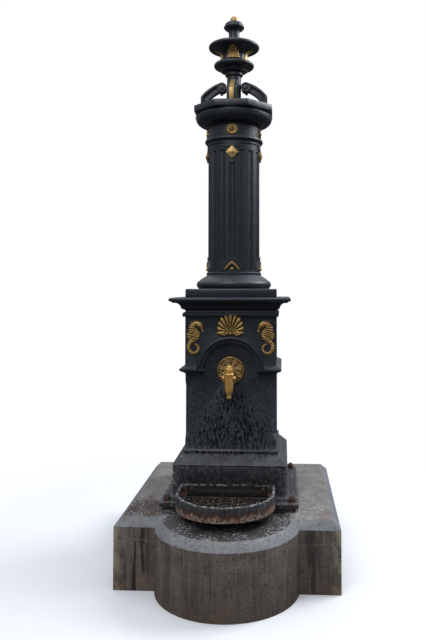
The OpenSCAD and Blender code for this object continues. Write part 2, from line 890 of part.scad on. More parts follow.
// The tie rod, with its plate and its two nuts
module tie_rod() {
    plate_t = 10;
    color(steel) {
        translate([0, 0, z_block - lug_t - 32])
            cylinder(r = rod_r, h = z_post + 34 - z_block + lug_t + 32);
        translate([0, 0, z_block - lug_t - plate_t]) difference() {
            cylinder(r = 40, h = plate_t);
            translate([0, 0, -over]) cylinder(r = rod_r + sink, h = plate_t + 2 * over);
        }
        translate([0, 0, z_block - lug_t - plate_t - 14 - seat]) rod_nut();
        translate([0, 0, z_post]) rod_nut();
    }
}

module scallop_shell() {
    lobes = 11;
    steps = 8 * lobes;
    shell_r = 92;
    lobe = 8;
    thick = 18;
    band_out = 13 + fit;
    fan = [for (i = [0:steps]) let (
        a = 204 * i / steps - 12,
        r = shell_r * (0.84 + 0.16 * sin(max(0, min(180, a)))) + lobe * abs(sin(22.5 * i))
    ) [0.88 * r * cos(a), r * sin(a)]];
    color(gold) difference() {
        translate([0, 0, shell_z]) face_plate(-body_half - thick, -body_half)
            polygon(concat(fan, [[-58, -20], [-44, -24], [-20, -18], [20, -18], [44, -24], [58, -20]]));
        block([-shell_r, -body_half - band_out, band_z - fit], [shell_r, 0, z_cornice]);
    }
}

// A seahorse's spine from the snout to the tail's tip: place towards the centre, height, half width
spine = [
    [38, 124, 5], [33, 141, 5], [26, 157, 10], [18, 167, 12], [5, 171, 12], [-8, 161, 14],
    [-13, 146, 18], [-10, 128, 25], [-1, 110, 28], [1, 93, 22], [-11, 78, 16], [-26, 65, 13],
    [-36, 45, 11], [-32, 25, 10.5], [-16, 10, 9.5], [4, 14, 8.5], [15, 29, 8], [13, 46, 7],
    [3, 55, 6], [-6, 58, 5]
];
function spine_dir(i) = let (
        a = spine[max(0, i - 1)],
        b = spine[min(len(spine) - 1, i + 1)],
        d = [b.x - a.x, b.y - a.y]
    ) d / norm(d);

function spine_side(i, side) =
    [spine[i].x - side * spine_dir(i).y * spine[i][2], spine[i].y + side * spine_dir(i).x * spine[i][2]];

module seahorse(side) {
    thick = 12;
    last = len(spine) - 1;
    color(gold) mirror([side, 0, 0]) translate([-seahorse_x, 0, seahorse_z])
        face_plate(-body_half - thick, -body_half) polygon(concat(
            [for (i = [0:last]) spine_side(i, 1)],
            [for (i = [last:-1:0]) spine_side(i, -1)]
        ));
}

module tap_plate() {
    color(brass) translate([0, 0, tap_z]) difference() {
        union() {
            bar_y(plate_r, -recess_y - plate_t + 3, -recess_y);
            difference() {
                bar_y(plate_r, -recess_y - plate_t, -recess_y);
                bar_y(plate_r - 6, -recess_y - plate_t - over, -recess_y + over);
            }
            bar_y(34, -recess_y - plate_t, -recess_y);
        }
        bar_y(tail_r + sink, -recess_y - plate_t - over, -recess_y + over);
    }
}

module barrel_at() {
    translate([0, -tap_y, 0]) children();
}

module tap_body() {
    low = barrel_top - barrel_h;
    arm_r = 24;
    arm_end = tap_y - barrel_r - 9;
    neck = 21;
    tail_end = cavity_front - 34;
    color(brass) difference() {
        union() {
            barrel_at() rotate_extrude() polygon(concat(
                [[0, low], [nozzle_r + 1, low], [nozzle_r + 2, low + 3]],
                reversed(quarter([barrel_r - 2.5, low + 20], [nozzle_r + 4, low + 4], 5)),
                [[barrel_r - 1, barrel_top - 40], [barrel_r - 0.5, barrel_top - 12],
                 [barrel_r + 1, barrel_top - 8]],
                arc([barrel_r - 1, barrel_top - 5], 3, -50, 60, 4),
                [[barrel_r - 1, barrel_top], [0, barrel_top]]
            ));
            translate([0, 0, tap_z]) bar_y(arm_r, -arm_end, -recess_y - plate_t);
            translate([0, 0, tap_z]) bar_y(tail_r, -recess_y - plate_t - over, -tail_end);
            translate([0, 0, barrel_top - neck - 2]) bar_y(neck, -tap_y, -arm_end + 10);
        }
        // The push button's chamber, the valve seat and the outlet chamber below it
        barrel_at() {
            translate([0, 0, spring_z]) cylinder(r = chamber_r, h = 60);
            translate([0, 0, seat_z - over]) cylinder(r = spindle_r + 2, h = 30);
            translate([0, 0, low + 12]) cylinder(r = chamber_r, h = seat_z - low - 12);
            translate([0, 0, low - over]) cylinder(r = nozzle_r - 2, h = 20);
        }
        // The way in for the water
        translate([0, 0, tap_z]) bar_y(8, -arm_end + 8, -tail_end + over);
        translate([0, -arm_end + 14, barrel_top - 18]) cylinder(r = 6, h = 20);
        translate([0, 0, barrel_top - 14]) bar_y(6, -tap_y, -arm_end + 14);
        for (side = [-1, 1]) {
            translate([0, -tap_y, barrel_top - plug_drop]) rotate([0, side * 90, 0])
                translate([0, 0, chamber_r + 3]) cylinder(r = 6, h = 30);
        }
    }
}

module tap_bonnet() {
    bonnet_r = barrel_r - 2.5;
    top = barrel_top + bonnet_h;
    well_z = top - button_in - button_travel - 1;
    color(brass) barrel_at() difference() {
        rotate_extrude() polygon(concat(
            [[0, barrel_top], [bonnet_r, barrel_top], [bonnet_r, top - 13]],
            quarter([bonnet_r, top - 13], [button_r + 2, top], 6),
            [[0, top]]
        ));
        translate([0, 0, barrel_top - over]) cylinder(r = stem_r + shaft_fit, h = bonnet_h);
        translate([0, 0, well_z]) cylinder(r = button_r + shaft_fit, h = bonnet_h);
    }
}

// The push button: its stem slides in the bonnet's bore, and its cap in the well above
module tap_button() {
    cap_z = barrel_top + bonnet_h - button_in;
    color(brass) barrel_at() rotate_extrude() polygon(concat(
        [[0, barrel_top + 3], [stem_r, barrel_top + 3], [stem_r, cap_z], [button_r, cap_z],
         [button_r, cap_z + 6]],
        quarter([button_r, cap_z + 6], [0.5, cap_z + 19], 8),
        [[0, cap_z + 19]]
    ));
}

module tap_spindle() {
    head_r = chamber_r - 3;
    color(brass) barrel_at() {
        translate([0, 0, seat_z - 14]) cylinder(r = spindle_r, h = barrel_top + 3 - seat_z + 14);
        translate([0, 0, seat_z - 10]) cylinder(r = head_r, h = 6);
    }
}

// A ring of the spring's wire at turn t: its centre runs up the helix
function spring_ring(t, coil_r, wire, low, high, turns) = [
    for (k = [0:7]) let (r = coil_r + wire * cos(45 * k))
        [r * cos(360 * t), r * sin(360 * t), low + (high - low) * t / turns + wire * sin(45 * k)]
];

module tap_spring() {
    wire = 1.2;
    turns = 6;
    last = 20 * turns;
    points = [for (i = [0:last]) each spring_ring(
        i / 20, spindle_r + 3.6, wire, spring_z + wire + sink, barrel_top + 3 - wire - sink, turns)];
    sides = [for (i = [0:last - 1], k = [0:7])
        [8 * i + k, 8 * i + (k + 1) % 8, 8 * i + 8 + (k + 1) % 8, 8 * i + 8 + k]];
    ends = [[for (k = [7:-1:0]) k], [for (k = [0:7]) 8 * last + k]];
    color(steel) barrel_at() polyhedron(points, concat(sides, ends));
}

module tap_seal() {
    color("#202020") barrel_at() translate([0, 0, barrel_top - 3.5]) difference() {
        cylinder(r = chamber_r - sink, h = 3.5);
        translate([0, 0, -over]) cylinder(r = stem_r + shaft_fit, h = 6);
    }
}

module tap_washer() {
    color("#202020") barrel_at() translate([0, 0, seat_z - 4]) difference() {
        cylinder(r = chamber_r - 3, h = 4 - sink);
        translate([0, 0, -over]) cylinder(r = spindle_r + 0.05, h = 6);
    }
}

module tap_nozzle() {
    low = barrel_top - barrel_h;
    color(brass) barrel_at() difference() {
        union() {
            translate([0, 0, low - nozzle_drop]) cylinder(r1 = nozzle_r - 1, r2 = nozzle_r, h = nozzle_drop);
            translate([0, 0, low - over]) cylinder(r = nozzle_r - 2 - sink, h = 11);
        }
        translate([0, 0, low - nozzle_drop - over]) cylinder(r = 5.5, h = nozzle_drop + 20);
    }
}

module tap_side_plugs() {
    color(brass) for (side = [0, 1]) {
        mirror([side, 0, 0]) translate([0, -tap_y, barrel_top - plug_drop]) rotate([0, 90, 0]) {
            translate([0, 0, chamber_r + 3 + sink]) cylinder(r = 6 - sink, h = barrel_r - chamber_r);
            translate([0, 0, barrel_r + 1]) rotate_extrude($fn = 48) polygon(concat(
                [[0, 0], [12, 0], [12, 4]], quarter([12, 4], [0, 13], 6)
            ));
        }
    }
}

module tap_backnut() {
    color(brass) translate([0, 0, tap_z]) difference() {
        translate([0, 12 - cavity_front, 0]) rotate([90, 0, 0]) hex(24, 12);
        bar_y(tail_r + sink, -cavity_front - over, -cavity_front + 20);
    }
}

module supply_elbow() {
    socket = pipe_r + 5;
    start = cavity_front - 16;
    color(brass) difference() {
        union() {
            translate([0, 0, tap_z]) bar_y(socket + 2, -start, -start + 22);
            translate([0, 0, tap_z]) bar_y(pipe_r, -start, -elbow_y);
            translate([0, -elbow_y, tap_z]) sphere(r = pipe_r, $fn = 48);
            translate([0, -elbow_y, tap_z - elbow_drop]) cylinder(r = pipe_r, h = elbow_drop);
            translate([0, -elbow_y, tap_z - elbow_drop]) cylinder(r = socket, h = 24);
        }
        translate([0, 0, tap_z]) bar_y(tail_r + sink, -start - over, -cavity_front + 34.5);
        translate([0, 0, tap_z]) bar_y(8, -start - over, -elbow_y);
        translate([0, -elbow_y, tap_z - 60]) cylinder(r = 8, h = 60);
        translate([0, -elbow_y, tap_z - elbow_drop - over]) cylinder(r = pipe_r + sink, h = 18 + over);
    }
}

// A length of supply pipe on the riser's line
module pipe(z0, z1) {
    color("#8d6a4f") translate([0, -elbow_y, z0]) difference() {
        cylinder(r = pipe_r, h = z1 - z0);
        translate([0, 0, -over]) cylinder(r = pipe_r - 3, h = z1 - z0 + 2 * over);
    }
}

module supply_pipe() {
    pipe(valve_z + valve_half - 14, tap_z - elbow_drop + 17);
}

// The riser, with a thicker end for the coupling of the buried service
module riser_pipe() {
    pipe(inlet_z, valve_z - valve_half + 14);
    color("#8d6a4f") translate([0, -elbow_y, inlet_z]) difference() {
        cylinder(r = inlet_r, h = inlet_len);
        translate([0, 0, -over]) cylinder(r = pipe_r - 3, h = inlet_len + 2 * over);
    }
}

module stop_valve_body() {
    color(brass) difference() {
        union() {
            translate([0, -elbow_y, valve_z]) sphere(r = valve_r, $fn = 48);
            translate([0, -elbow_y, valve_z - valve_half]) hex(pipe_r + 8, 18);
            translate([0, -elbow_y, valve_z + valve_half - 18]) hex(pipe_r + 8, 18);
            translate([0, -elbow_y, valve_z - valve_half]) cylinder(r = pipe_r + 3, h = 2 * valve_half);
            translate([0, 0, valve_z]) bar_y(12, -elbow_y, valve_stem_y);
        }
        for (z = [valve_z - valve_half - over, valve_z + valve_half - 15]) {
            translate([0, -elbow_y, z]) cylinder(r = pipe_r + sink, h = 15 + over);
        }
        translate([0, -elbow_y, valve_z - valve_half]) cylinder(r = 9, h = 2 * valve_half);
        translate([0, 0, valve_z]) bar_y(5 + shaft_fit, -elbow_y, valve_stem_y + over);
    }
}

module stop_valve_lever() {
    grip = 78;
    color("#8a2a22") {
        translate([0, 0, valve_z]) bar_y(5, -elbow_y + 12, valve_stem_y + 9);
        translate([0, 0, valve_z]) bar_y(11, valve_stem_y + 2, valve_stem_y + 2 + lever_t);
        block([-9, valve_stem_y + 2, valve_z - grip], [9, valve_stem_y + 2 + lever_t, valve_z]);
        translate([0, 0, valve_z - grip]) bar_y(9, valve_stem_y + 2, valve_stem_y + 2 + lever_t);
    }
}

// The tray's plan: straight sides that start at y = -back, then a half circle
module bay(r, back) {
    translate([tray_x, -tray_cy]) intersection() {
        union() {
            circle(r, $fn = 160);
            translate([-r, 0]) square([2 * r, tray_cy]);
        }
        translate([-r, -r]) square([2 * r, r + tray_cy - back]);
    }
}

module tray_rim() {
    z = tray_top - rim_r;
    mid = tray_r - rim_r;
    translate([tray_x, -tray_cy, z]) rotate([0, 0, 180]) rotate_extrude(angle = 180, $fn = 160)
        translate([mid, 0]) circle(rim_r, $fn = 24);
    for (side = [-1, 1]) {
        translate([tray_x + side * mid, 0, z]) bar_y(rim_r, -tray_cy, -box_half, $fn = 24);
    }
}

// Room under the tray's back for the box's foot moulding
module foot_room() {
    half = tray_r + 50;
    block([tray_x - half, -box_half - foot_out - fit, tray_floor - over],
          [tray_x + half, 0, z_box + foot_h + fit]);
}

// The tray's floor, set inside its wall, with the waste hole
module tray_pan() {
    color("#3a342f") difference() {
        translate([0, 0, tray_floor]) linear_extrude(floor_t) bay(tray_r - tray_wall - sink, box_half);
        translate([tray_x, -drain_y, tray_floor - over]) cylinder(r = drain_r - 4, h = 30);
        foot_room();
    }
}

module tray() {
    color("#3a342f") difference() {
        union() {
            translate([0, 0, tray_floor]) linear_extrude(tray_h - rim_r) difference() {
                bay(tray_r, box_half);
                bay(tray_r - tray_wall, box_half + back_t);
            }
            tray_rim();
            block([tray_x - tray_r + rim_r, -box_half - back_t, tray_floor],
                  [tray_x + tray_r - rim_r, -box_half, tray_top]);
        }
        foot_room();
        for (side = [-1, 1]) {
            translate([tray_x + side * tray_bolt_x, 0, tray_bolt_z])
                bar_y(tray_bolt_r + fit, -box_half - back_t - over, -box_half + over);
        }
    }
}

module grate_plan() {
    rim = 12;
    bar = 6;
    hole_w = 56;
    hole_d = 96;
    back = box_half + 24;
    pitch = 62;
    rows = ceil((tray_cy + grate_half - back) / pitch);
    difference() {
        bay(grate_half, back);
        bay(grate_half - rim, back + rim);
    }
    difference() {
        intersection() {
            union() {
                for (i = [-4:4], j = [0:rows]) {
                    translate([tray_x + i * pitch, -back - rim - j * pitch]) difference() {
                        circle(pitch / 2 + bar / 2, $fn = 48);
                        circle(pitch / 2 - bar / 2, $fn = 48);
                    }
                }
                for (i = [-4:4]) {
                    translate([tray_x + i * pitch - bar / 2, -tray_cy - grate_half])
                        square([bar, grate_half + tray_cy - back]);
                }
            }
            bay(grate_half - rim + 1, back + rim - 1);
        }
        translate([tray_x - hole_w / 2, -drain_y - hole_d / 2]) square([hole_w, hole_d]);
    }
    translate([tray_x, -drain_y]) difference() {
        square([hole_w + 2 * bar, hole_d + 2 * bar], center = true);
        square([hole_w, hole_d], center = true);
    }
}

module tray_grate() {
    color("#4a3428") translate([0, 0, grate_z]) linear_extrude(grate_t) grate_plan();
}

module tray_bolts() {
    inner = box_half - wall;
    head = 7;
    color(steel) for (side = [-1, 1]) {
        translate([tray_x + side * tray_bolt_x, 0, tray_bolt_z]) {
            bar_y(tray_bolt_r, -box_half - back_t - head, -inner + 16);
            translate([0, -box_half - back_t, 0]) rotate([90, 0, 0]) hex(1.8 * tray_bolt_r, head);
            difference() {
                translate([0, 10 - inner, 0]) rotate([90, 0, 0]) hex(1.8 * tray_bolt_r, 10);
                bar_y(tray_bolt_r + sink, -inner - over, -inner + 20);
            }
        }
    }
}

module drain_pipe() {
    color("#55585c") translate([tray_x, -drain_y, 0]) difference() {
        cylinder(r = drain_r, h = tray_floor);
        translate([0, 0, -over]) cylinder(r = drain_r - 4, h = tray_floor + 2 * over);
    }
}

function hinge_levels() = [door_z + 56, door_z + door_h - 56];

module service_door() {
    y0 = body_half + door_gap;
    panel = 40;
    color(iron) difference() {
        union() {
            block([-door_w / 2, y0, door_z], [door_w / 2, y0 + door_t, door_z + door_h]);
            block([-door_w / 2 + panel, y0, door_z + panel],
                  [door_w / 2 - panel, y0 + door_t + 4, door_z + door_h - panel]);
            for (z = hinge_levels()) {
                translate([hinge_x, hinge_y, z - door_eye / 2]) cylinder(r = hinge_r, h = door_eye);
                block([door_w / 2 - over, hinge_y - 3, z - door_eye / 2],
                      [hinge_x, hinge_y + 3, z + door_eye / 2]);
            }
        }
        for (z = hinge_levels()) {
            translate([hinge_x, hinge_y, z - 30]) cylinder(r = pin_r + shaft_fit, h = 60);
        }
        translate([lock_x, 0, door_z + door_h / 2]) bar_y(lock_r + shaft_fit, y0 - over, y0 + door_t + 10);
    }
}

module door_hinges() {
    leaf_y = body_half + 7.5;
    eye = 12;
    tall = door_eye / 2 + eye + 0.5;
    color(iron) for (z = hinge_levels()) {
        difference() {
            union() {
                for (s = [-1, 1]) {
                    translate([hinge_x, hinge_y, z + s * (tall - eye / 2) - eye / 2])
                        cylinder(r = hinge_r, h = eye);
                }
                block([hinge_x, hinge_y - 3.5, z - tall], [hinge_x + 12, hinge_y + 3, z + tall]);
                block([hinge_x + 9, body_half, z - tall], [hinge_x + 28, leaf_y, z + tall]);
            }
            block([hinge_x - 20, hinge_y - 20, z - door_eye / 2 - 0.5],
                  [hinge_x + 9, hinge_y + 20, z + door_eye / 2 + 0.5]);
        }
        translate([hinge_x, hinge_y, z - tall]) cylinder(r = pin_r, h = 2 * tall);
        for (s = [-1, 1]) {
            translate([rivet_x, 0, z + s * rivet_rise]) {
                bar_y(rivet_r, cavity_half, leaf_y + 2);
                bar_y(2 * rivet_r, leaf_y - seat, leaf_y + 2);
                bar_y(2 * rivet_r, cavity_half - 2, cavity_half);
            }
        }
    }
}

module door_lock() {
    y0 = body_half + door_gap;
    inner_y = body_half - wall;
    mid = door_z + door_h / 2;
    color(steel) {
        translate([lock_x, 0, mid]) bar_y(lock_r, inner_y - 6, y0 + door_t + sink);
        translate([lock_x, 0, mid]) difference() {
            bar_y(lock_r + 5, y0 + door_t + sink, y0 + door_t + 7);
            translate([0, y0 + door_t + 3, 0]) rotate([-90, 45, 0]) cylinder(r = 5, h = 10, $fn = 4);
        }
        block([lock_x - 7, inner_y - 5.5, mid - cam_len], [lock_x + 7, inner_y - 1.5, mid]);
    }
}

stone_plinth();
mortar_bed();
base_flange();
pedestal_base();
base_skirt();
pedestal_body();
cornice();
anchor_studs();
anchor_nuts();
body_tie_bolts();
cornice_screws();
column_block();
column_base();
column_shaft();
gold_chevrons();
gold_balls();
lozenge_bosses();
neck_ring();
capital();
capital_rosettes();
abacus();
bracket();  // bracket_front
rotate([0, 0, 90]) bracket();  // bracket_right
rotate([0, 0, 180]) bracket();  // bracket_back
rotate([0, 0, 270]) bracket();  // bracket_left
bracket_inlays();
finial_post();
finial_lower_disc();
finial_upper_disc();
finial_leaves();
finial_cap();
finial_acorn();
tie_rod();
scallop_shell();
seahorse(0);  // seahorse_left
seahorse(1);  // seahorse_right
tap_plate();
tap_body();
tap_bonnet();
tap_button();
tap_spindle();
tap_spring();
tap_seal();
tap_washer();
tap_nozzle();
tap_side_plugs();
tap_backnut();
supply_elbow();
supply_pipe();
riser_pipe();
stop_valve_body();
stop_valve_lever();
tray();
tray_pan();
tray_grate();
tray_bolts();
drain_pipe();
service_door();
door_hinges();
door_lock();
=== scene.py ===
import math
import bpy
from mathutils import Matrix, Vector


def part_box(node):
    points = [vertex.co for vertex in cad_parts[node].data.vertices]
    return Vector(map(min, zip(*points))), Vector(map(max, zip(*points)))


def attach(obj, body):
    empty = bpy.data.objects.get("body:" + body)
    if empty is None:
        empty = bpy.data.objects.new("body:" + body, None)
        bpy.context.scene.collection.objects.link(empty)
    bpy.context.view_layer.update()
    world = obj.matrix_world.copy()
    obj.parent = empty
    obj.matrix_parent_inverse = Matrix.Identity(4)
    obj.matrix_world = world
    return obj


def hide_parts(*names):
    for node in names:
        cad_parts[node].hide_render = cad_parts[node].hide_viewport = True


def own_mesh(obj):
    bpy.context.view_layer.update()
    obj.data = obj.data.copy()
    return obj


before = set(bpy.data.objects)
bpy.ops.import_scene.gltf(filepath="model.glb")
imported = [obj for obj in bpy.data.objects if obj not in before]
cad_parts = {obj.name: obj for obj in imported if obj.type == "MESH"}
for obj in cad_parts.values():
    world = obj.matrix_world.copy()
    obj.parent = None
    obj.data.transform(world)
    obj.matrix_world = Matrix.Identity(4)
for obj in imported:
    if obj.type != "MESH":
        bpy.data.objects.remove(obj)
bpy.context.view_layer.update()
bpy.ops.object.select_all(action="DESELECT")

# ---------------------------------------------------------------- The stage
# A pale floor under an overcast sky: bright overhead, dimmer near the horizon, with one broad
# soft light from high on the right and a weaker one from the left. A visitor stands a little
# to the right of the fountain and holds the camera at eye height.
bpy.ops.mesh.primitive_plane_add(size=40, location=(0, 0, -0.001))
floor = bpy.context.object
floor.name = "floor"
paving = bpy.data.materials.new("pale_floor")
paving.use_nodes = True
floor_nodes, floor_links = paving.node_tree.nodes, paving.node_tree.links
floor_nodes["Principled BSDF"].inputs["Base Color"].default_value = (0.80, 0.80, 0.80, 1)
floor_nodes["Principled BSDF"].inputs["Roughness"].default_value = 0.9
floor_far = floor_nodes.new("ShaderNodeEmission")
floor_far.inputs["Color"].default_value = (1, 1, 1, 1)
floor_place = floor_nodes.new("ShaderNodeTexCoord")
floor_reach = floor_nodes.new("ShaderNodeVectorMath")
floor_reach.operation = "LENGTH"
floor_fade = floor_nodes.new("ShaderNodeMapRange")
floor_fade.inputs["From Min"].default_value = 0.9
floor_fade.inputs["From Max"].default_value = 2.4
floor_mix = floor_nodes.new("ShaderNodeMixShader")
floor_links.new(floor_place.outputs["Object"], floor_reach.inputs[0])
floor_links.new(floor_reach.outputs["Value"], floor_fade.inputs["Value"])
floor_links.new(floor_fade.outputs[0], floor_mix.inputs[0])
floor_links.new(floor_nodes["Principled BSDF"].outputs[0], floor_mix.inputs[1])
floor_links.new(floor_far.outputs[0], floor_mix.inputs[2])
floor_links.new(floor_mix.outputs[0], floor_nodes["Material Output"].inputs["Surface"])
floor.data.materials.append(paving)
floor.visible_diffuse = False
floor.visible_glossy = False

scene = bpy.context.scene
scene.view_settings.view_transform = "Standard"
sky = bpy.data.worlds.new("overcast")
scene.world = sky
sky.use_nodes = True
sky_nodes, sky_links = sky.node_tree.nodes, sky.node_tree.links
sky_light = sky_nodes["Background"]
sky_place = sky_nodes.new("ShaderNodeTexCoord")
sky_split = sky_nodes.new("ShaderNodeSeparateXYZ")
sky_ramp = sky_nodes.new("ShaderNodeValToRGB")
sky_ramp.color_ramp.elements[0].position = 0.0
sky_ramp.color_ramp.elements[0].color = (0.085, 0.090, 0.100, 1)
sky_ramp.color_ramp.elements[1].position = 0.9
sky_ramp.color_ramp.elements[1].color = (1.08, 1.16, 1.30, 1)
sky_links.new(sky_place.outputs["Generated"], sky_split.inputs[0])
sky_links.new(sky_split.outputs["Z"], sky_ramp.inputs[0])
sky_links.new(sky_ramp.outputs[0], sky_light.inputs["Color"])
sky_white = sky_nodes.new("ShaderNodeBackground")
sky_white.inputs["Color"].default_value = (1, 1, 1, 1)
sky_seen = sky_nodes.new("ShaderNodeLightPath")
sky_mix = sky_nodes.new("ShaderNodeMixShader")
sky_links.new(sky_seen.outputs["Is Camera Ray"], sky_mix.inputs[0])
sky_links.new(sky_light.outputs[0], sky_mix.inputs[1])
sky_links.new(sky_white.outputs[0], sky_mix.inputs[2])
sky_links.new(sky_mix.outputs[0], sky_nodes["World Output"].inputs["Surface"])


def soft_light(name, place, target, size, power, colour):
    bpy.ops.object.light_add(type="AREA", location=place)
    lamp = bpy.context.object
    lamp.name = name
    lamp.data.size = size
    lamp.data.energy = power
    lamp.data.color = colour
    to_target = [t - p for t, p in zip(target, place)]
    lamp.rotation_euler = Vector(to_target).to_track_quat("-Z", "Y").to_euler()


soft_light("sky_right", (3.4, 1.0, 4.4), (0, 0, 1.2), 2.2, 170, (0.90, 0.95, 1.0))
soft_light("sky_front", (-1.2, -4.0, 5.2), (0, 0, 1.0), 2.6, 95, (1.0, 0.99, 0.97))

eye_height = 1.455
camera_yaw, camera_pitch = math.radians(2.95), math.radians(1.98)
bpy.ops.object.camera_add(
    location=(0.272, -3.681, eye_height),
    rotation=(math.pi / 2 + camera_pitch, 0, camera_yaw),
)
camera = bpy.context.object
camera.data.lens = 37.1
camera.data.sensor_width = 36
camera.data.shift_x = -0.0556
camera.data.shift_y = -0.084
scene.camera = camera

# --------------------------------------------------------------- Stone plinth
# One block of old cast stone with a round lobe in front, chamfered all round the top. Rain has
# streaked its faces, lime and rust run down from the iron, and the top is wet round the tray.


class Finish:
    """A surface finish: its shader, and the patterns that feed it, in metres on the fountain."""

    def __init__(self, name, roughness=0.5, metallic=0.0):
        self.material = bpy.data.materials.new(name)
        self.material.use_nodes = True
        self.tree = self.material.node_tree
        self.shader = self.tree.nodes["Principled BSDF"]
        self.shader.inputs["Roughness"].default_value = roughness
        self.shader.inputs["Metallic"].default_value = metallic
        self.place = self.node("ShaderNodeTexCoord").outputs["Object"]
        split = self.node("ShaderNodeSeparateXYZ", {0: self.place})
        self.x, self.y, self.z = split.outputs
        geometry = self.node("ShaderNodeNewGeometry")
        facing = self.node("ShaderNodeSeparateXYZ", {0: geometry.outputs["Normal"]})
        self.back, self.up = facing.outputs["Y"], facing.outputs["Z"]

    def node(self, kind, inputs=None, **settings):
        made = self.tree.nodes.new(kind)
        for key, value in settings.items():
            setattr(made, key, value)
        for key, value in (inputs or {}).items():
            self.feed(made.inputs[key], value)
        return made

    def feed(self, socket, value):
        if isinstance(value, bpy.types.NodeSocket):
            self.tree.links.new(value, socket)
        elif isinstance(value, tuple) and len(value) == 3 and len(socket.default_value) == 4:
            socket.default_value = (*value, 1)
        else:
            socket.default_value = value

    def noise(self, scale, detail=4, stretch=(1, 1, 1), roughness=0.55, twist=0.0):
        moved = self.node("ShaderNodeMapping", {"Vector": self.place, "Scale": stretch})
        return self.node("ShaderNodeTexNoise", {
            "Vector": moved.outputs[0], "Scale": scale, "Detail": detail,
            "Roughness": roughness, "Distortion": twist}).outputs["Fac"]

    def grade(self, value, low, high, start=0.0, end=1.0):
        return self.node("ShaderNodeMapRange", {
            0: value, 1: low, 2: high, 3: start, 4: end}).outputs[0]

    def band(self, value, low, high, soft):
        rise = self.grade(value, low - soft, low + soft)
        fall = self.grade(value, high - soft, high + soft, 1.0, 0.0)
        return self.calc("MULTIPLY", rise, fall)

    def calc(self, operation, a, b=0.0):
        return self.node("ShaderNodeMath", {0: a, 1: b}, operation=operation, use_clamp=False).outputs[0]

    def times(self, *values):
        product = values[0]
        for value in values[1:]:
            product = self.calc("MULTIPLY", product, value)
        return product

    def mix(self, amount, a, b):
        blended = self.node("ShaderNodeMix", data_type="RGBA")
        self.feed(blended.inputs[0], amount)
        self.feed(blended.inputs[6], a)
        self.feed(blended.inputs[7], b)
        return blended.outputs[2]

    def crevice(self, reach, samples=8):
        shade = self.node(
            "ShaderNodeAmbientOcclusion", {"Distance": reach}, samples=samples, only_local=True)
        return shade.outputs["AO"]

    def edge(self, radius, gain=6.0):
        rounded = self.node("ShaderNodeBevel", {"Radius": radius}, samples=4)
        true_face = self.node("ShaderNodeNewGeometry").outputs["True Normal"]
        along = self.node(
            "ShaderNodeVectorMath", {0: rounded.outputs[0], 1: true_face}, operation="DOT_PRODUCT")
        return self.grade(along.outputs["Value"], 1.0, 1.0 - 1.0 / gain, 0.0, 1.0)

    def colour(self, value):
        self.feed(self.shader.inputs["Base Color"], value)

    def roughen(self, value):
        self.feed(self.shader.inputs["Roughness"], value)

    def relief(self, *heights):
        normal = None
        for height, depth in heights:
            bump = self.node("ShaderNodeBump", {"Height": height, "Distance": depth, "Strength": 1.0})
            if normal is not None:
                self.feed(bump.inputs["Normal"], normal)
            normal = bump.outputs[0]
        self.feed(self.shader.inputs["Normal"], normal)


def take_copy(node, name):
    """A copy of a CAD node with its doubled corners merged and its flat faces made whole."""
    bpy.ops.object.select_all(action="DESELECT")
    piece = bpy.data.objects.new(name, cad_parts[node].data.copy())
    scene.collection.objects.link(piece)
    bpy.context.view_layer.objects.active = piece
    piece.select_set(True)
    bpy.ops.mesh.customdata_custom_splitnormals_clear()
    bpy.ops.object.mode_set(mode="EDIT")
    bpy.ops.mesh.select_all(action="SELECT")
    bpy.ops.mesh.remove_doubles(threshold=0.00001)
    bpy.ops.mesh.dissolve_limited(angle_limit=math.radians(0.5))
    bpy.ops.object.mode_set(mode="OBJECT")
    return piece


def round_edges(piece, width, steps=2, sharper_than=28):
    bevel = piece.modifiers.new("rounded", "BEVEL")
    bevel.width = width
    bevel.segments = steps
    bevel.limit_method = "ANGLE"
    bevel.angle_limit = math.radians(sharper_than)
    bevel.miter_outer = "MITER_ARC"
    bpy.context.view_layer.objects.active = piece
    bpy.ops.object.modifier_apply(modifier=bevel.name)


def finish_piece(piece, finish, body="fountain", smooth=35):
    """Smooths a piece, gives it its finish and hangs it on its body."""
    bpy.ops.object.select_all(action="DESELECT")
    bpy.context.view_layer.objects.active = piece
    piece.select_set(True)
    bpy.ops.object.shade_smooth_by_angle(angle=math.radians(smooth))
    piece.data.materials.clear()
    piece.data.materials.append(finish.material)
    piece.select_set(False)
    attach(piece, body)


stone_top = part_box("stone_plinth")[1].z
tray_low, tray_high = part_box("tray")
tray_x = (tray_low.x + tray_high.x) / 2

stone = Finish("old_stone", roughness=0.85)
streaks = stone.noise(11, 6, (1, 1, 0.06))
fine_streaks = stone.noise(120, 4, (1, 1, 0.05))
mottle = stone.noise(14, 8)
grain = stone.noise(70, 6)
speckle = stone.noise(260, 3)
face = stone.mix(stone.grade(mottle, 0.35, 0.65), (0.110, 0.086, 0.068), (0.190, 0.158, 0.130))
face = stone.mix(stone.times(stone.grade(streaks, 0.45, 0.60), 0.60), face, (0.050, 0.037, 0.029))
face = stone.mix(stone.times(stone.grade(fine_streaks, 0.48, 0.66), 0.50), face, (0.215, 0.190, 0.160))
face = stone.mix(stone.times(stone.grade(grain, 0.56, 0.66), 0.60), face, (0.040, 0.030, 0.024))
warm_foot = stone.times(stone.grade(stone.z, 0.20, 0.0), stone.grade(mottle, 0.4, 0.6), 0.55)
face = stone.mix(warm_foot, face, (0.150, 0.080, 0.038))
